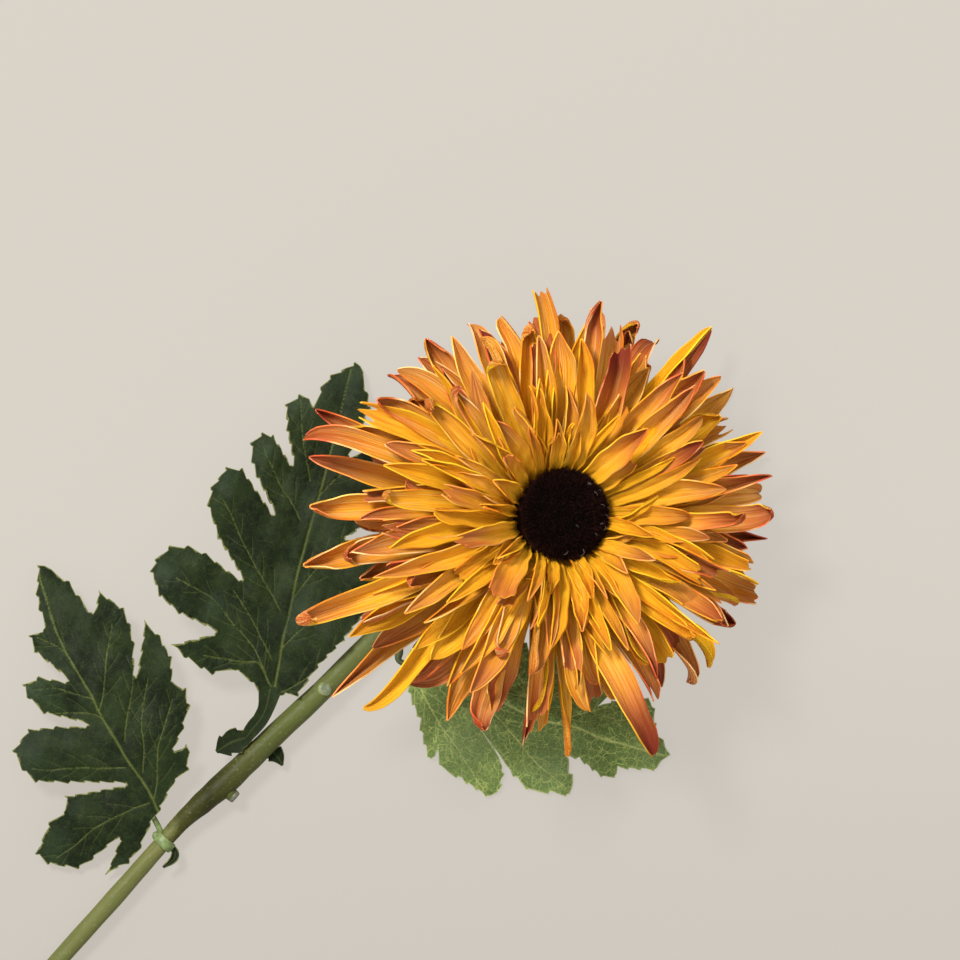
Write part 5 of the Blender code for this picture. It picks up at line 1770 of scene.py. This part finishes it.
@dataclass(frozen=True)
class Leaflet:
    """A small curled leaflet at the foot of a stalk."""

    name: str
    nodes: tuple[str, ...]
    # X, Y and height along its middle, and half its width there.
    line: Route
    cup: float
    teeth: int
    cloth: LeafCloth = DARK_CLOTH
    columns: int = 10
    thickness: float = 0.4
    # Least height, and least half width that its cup is measured by.
    least: float = 0.3

    def build(self) -> None:
        """Make the leaflet from a flat blank bent along its middle line."""
        stations = np.array(smooth_route(self.line, 8))
        rows = len(stations) - 1
        piece = grid(self.name, self.columns, rows)
        flat = corners(piece)
        row = np.rint((flat[:, 1] + 1.0) / 2.0 * rows).astype(int)
        half, share, out = stations[row, 3], row / rows, np.abs(flat[:, 0])
        side = unit(np.cross(unit(np.gradient(stations[:, :3], axis=0)), (0.0, 0.0, 1.0)))
        across = flat[:, 0] * half * (1.0 - 0.28 * ((share * self.teeth) % 1.0)
                                      * eased(out, 0.55, 1.0))
        places = stations[row, :3] + side[row] * across[:, None]
        lift = self.cup * across ** 2 / np.maximum(half, self.least)
        places[:, 2] = np.maximum(places[:, 2] + lift, self.least)
        reshape(piece, places)
        # Painted sheen fades from the leaflet's foot to its end.
        carry(piece, vein=0.45 * np.clip(1.0 - np.abs(across) / 0.35, 0.0, 1.0),
              haze=0.15 * (1.0 - share), edge=0.35 * eased(out, 0.9, 1.0))
        face_up(piece)
        self.cloth.finish(piece, self.thickness, *self.nodes)


@dataclass(frozen=True)
class Collar:
    """Light green ring that slides on the stem and carries the lower leaf's stalk."""

    plastic: GreenPlastic
    place: Point = (-79.2, -90.6, 3.5)
    direction: Point = (0.664, 0.748, 0.02)
    bore: float = 2.45
    wall: float = 0.5
    length: float = 2.4
    sides: int = 56
    rows: int = 14

    def build(self) -> None:
        """Make the ring: a band rounded at both rims, uneven as a moulding is."""
        piece = grid("collar_ring", self.sides, self.rows)
        turn, loop = (corners(piece)[:, :2].T + 1.0) * math.pi
        half = self.length / 2.0 * (1.0 + 0.10 * np.sin(turn + 0.6) + 0.05 * np.sin(3.0 * turn))
        radius = self.bore + self.wall / 2.0 + self.wall / 2.0 * np.sin(loop) \
            * (1.0 + 0.25 * np.sin(2.0 * turn) * (np.sin(loop) > 0.0))
        way = Vector(self.direction).normalized()
        side = way.cross(Vector((0.0, 0.0, 1.0))).normalized()
        amounts = np.stack(
            (half * np.cos(loop), radius * np.cos(turn), radius * np.sin(turn)), axis=1)
        reshape(piece, np.array(self.place) + amounts @ np.array((way, side, side.cross(way))))
        edit(piece, WELD, TURN_OUT)
        finished(piece, "collar_plastic", "lower_leaf_stalk", finish=self.plastic.face())


# Studio


@dataclass(frozen=True)
class Studio:
    """Pale floor, soft light and the camera straight above the flower."""

    floor_size: float = 7.0
    floor_drop: float = 0.0003
    floor_colour: Colour = (0.075, 0.070, 0.063)
    floor_mottle: Colour = (0.062, 0.058, 0.052)
    floor_glow: Colour = (0.554, 0.519, 0.466)
    floor_glow_low: Colour = (0.502, 0.465, 0.417)
    frame_width: float = 240.0
    camera_height: float = 2008.0
    camera_distance: float = 2000.0
    sensor: float = 36.0
    dome_strength: float = 0.88
    dome_colour: Colour = (1.0, 0.985, 0.96)
    key_colour: Colour = (1.0, 0.97, 0.93)
    key_power: float = 47.5
    key_size: float = 0.5
    key_place: Point = (-0.80, 0.85, 1.65)

    def floor(self) -> None:
        """Pale floor just under the flower; it glows with painted light, a little dimmer towards the
        bottom of the view, so that the shadows on it stay faint.
        """
        piece = added("floor", bpy.ops.mesh.primitive_plane_add, size=self.floor_size,
                      location=(0.0, 0.0, -self.floor_drop))
        sheet = Sheet("pale floor", self.floor_colour)
        sheet.cover(sheet.mottle(3.0, 2.0, 0.3, 0.7) * 0.05, self.floor_mottle)
        # Painted light: the floor's glow, dimmer towards the bottom of the view.
        low = sheet.parts(sheet.place)[1].ramp(-0.08, 0.05, 1.0, 0.0)
        glow = sheet.blend(low, self.floor_glow, self.floor_glow_low)
        piece.data.materials.append(
            sheet.dress(0.9, 0.05, Emission_Strength=1.0, Emission_Color=glow))

    def light(self) -> None:
        """Dome of soft light with a large softbox at the upper left."""
        world = bpy.data.worlds.new("studio dome")
        bpy.context.scene.world = world
        world.use_nodes = True
        background = world.node_tree.nodes["Background"].inputs
        background["Color"].default_value = (*self.dome_colour, 1.0)
        background["Strength"].default_value = self.dome_strength
        centre = Vector(PLAN.seated(np.zeros(3)))
        place = centre + Vector(self.key_place)
        pick()
        bpy.ops.object.light_add(type="AREA", location=place)
        key = rename(bpy.context.object, "softbox")
        key.data.shape, key.data.size = "DISK", self.key_size
        key.data.energy, key.data.color = self.key_power, self.key_colour
        key.rotation_euler = (centre - place).to_track_quat("-Z", "Y").to_euler()

    def camera(self) -> None:
        """Camera that looks straight down on the middle of the plan."""
        pick()
        bpy.ops.object.camera_add(location=PLAN.seated(np.array((0.0, 0.0, self.camera_height))),
                                  rotation=(0.0, 0.0, 0.0))
        camera = rename(bpy.context.object, "camera")
        camera.data.sensor_width = self.sensor
        camera.data.lens = self.sensor * self.camera_distance / self.frame_width
        camera.data.clip_end = 100.0
        bpy.context.scene.camera = camera

    def build(self) -> None:
        """Set up floor, light and camera, and the plain view of colours."""
        self.floor()
        self.light()
        self.camera()
        bpy.context.scene.view_settings.view_transform = "Standard"


def leaf_fittings() -> tuple[Collar | LeafStalk | Leaflet, ...]:
    """The collar, the stalks and the leaflets."""
    stalk = GreenPlastic("stalk plastic", (0.062, 0.078, 0.022), (0.022, 0.032, 0.009))
    collar = GreenPlastic("collar plastic", (0.17, 0.24, 0.08), (0.09, 0.13, 0.03), 520.0)
    return (
        Collar(collar),
        LeafStalk("lower_leaf_rib", LOWER_LEAF, read("-80.9,-89.6,4.3,1 -81.2,-88.9,4.2,.9"), 0.7,
                  "collar_plastic", collar),
        LeafStalk("middle_leaf_rib", MIDDLE_LEAF, read(
            "-58.85,-64.6,4.5,1.1 -58.2,-63.2,4.5,1.15 -56.4,-60.9,4.5,1.1"), 0.72,
            "stalk_plastic", stalk),
        LeafStalk("upper_leaf_rib", UPPER_LEAF, read(
            "-20.5,-39.6,3.9,1.25 -20.4,-41.2,3.7,1.2 -20.3,-43.2,3.5,1.1"), 0.7,
            "stalk_plastic", stalk),
        Leaflet("middle_left_leaflet", ("middle_leaf_stalk",), read(
            "-57.2,-64.2,6.4,.9 -59.4,-64.7,6.6,2.8 -61.9,-65.5,6.4,3.5 -64.2,-66.8,5.8,2.7 "
            "-66,-68,5,.5"), cup=0.3, teeth=3),
        Leaflet("middle_leaf_wing", (), read(
            "-52.4,-51.6,7,3 -52.9,-54.4,7.1,2.5 -53.6,-57.2,7,2 -54.9,-59.8,6.9,1.9 "
            "-56.7,-62,6.9,1.9 -58.5,-64.4,6.7,1.5"), cup=0.15, teeth=0),
        Leaflet("middle_right_leaflet", (), read(
            "-54.2,-67,2.2,1.2 -52.4,-67.9,2.4,2.5 -50.7,-69.4,2.8,2 -49.5,-71.6,2.6,.3"),
            cup=0.3, teeth=2),
        Leaflet("lower_leaflet", ("lower_leaf_stalk",), read(
            "-77.2,-92,3.6,.6 -76.4,-93.2,3.4,.8 -76.8,-95,3.8,.9 -79.4,-97,4.4,.2"),
            cup=0.5, teeth=0))


def write_sizes() -> None:
    """Update the view layer."""
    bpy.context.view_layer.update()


def main() -> None:
    """Build the flower and the studio."""
    logging.basicConfig(level=logging.INFO, format="%(name)s %(message)s")
    bloom = Bloom()
    for assembly in (Studio(), PetalTailor(bloom), Disc(bloom), Calyx(bloom), Stem(bloom),
                     LOWER_LEAF, MIDDLE_LEAF, UPPER_LEAF, *leaf_fittings()):
        assembly.build()
    write_sizes()


if __name__ == "__main__":
    main()
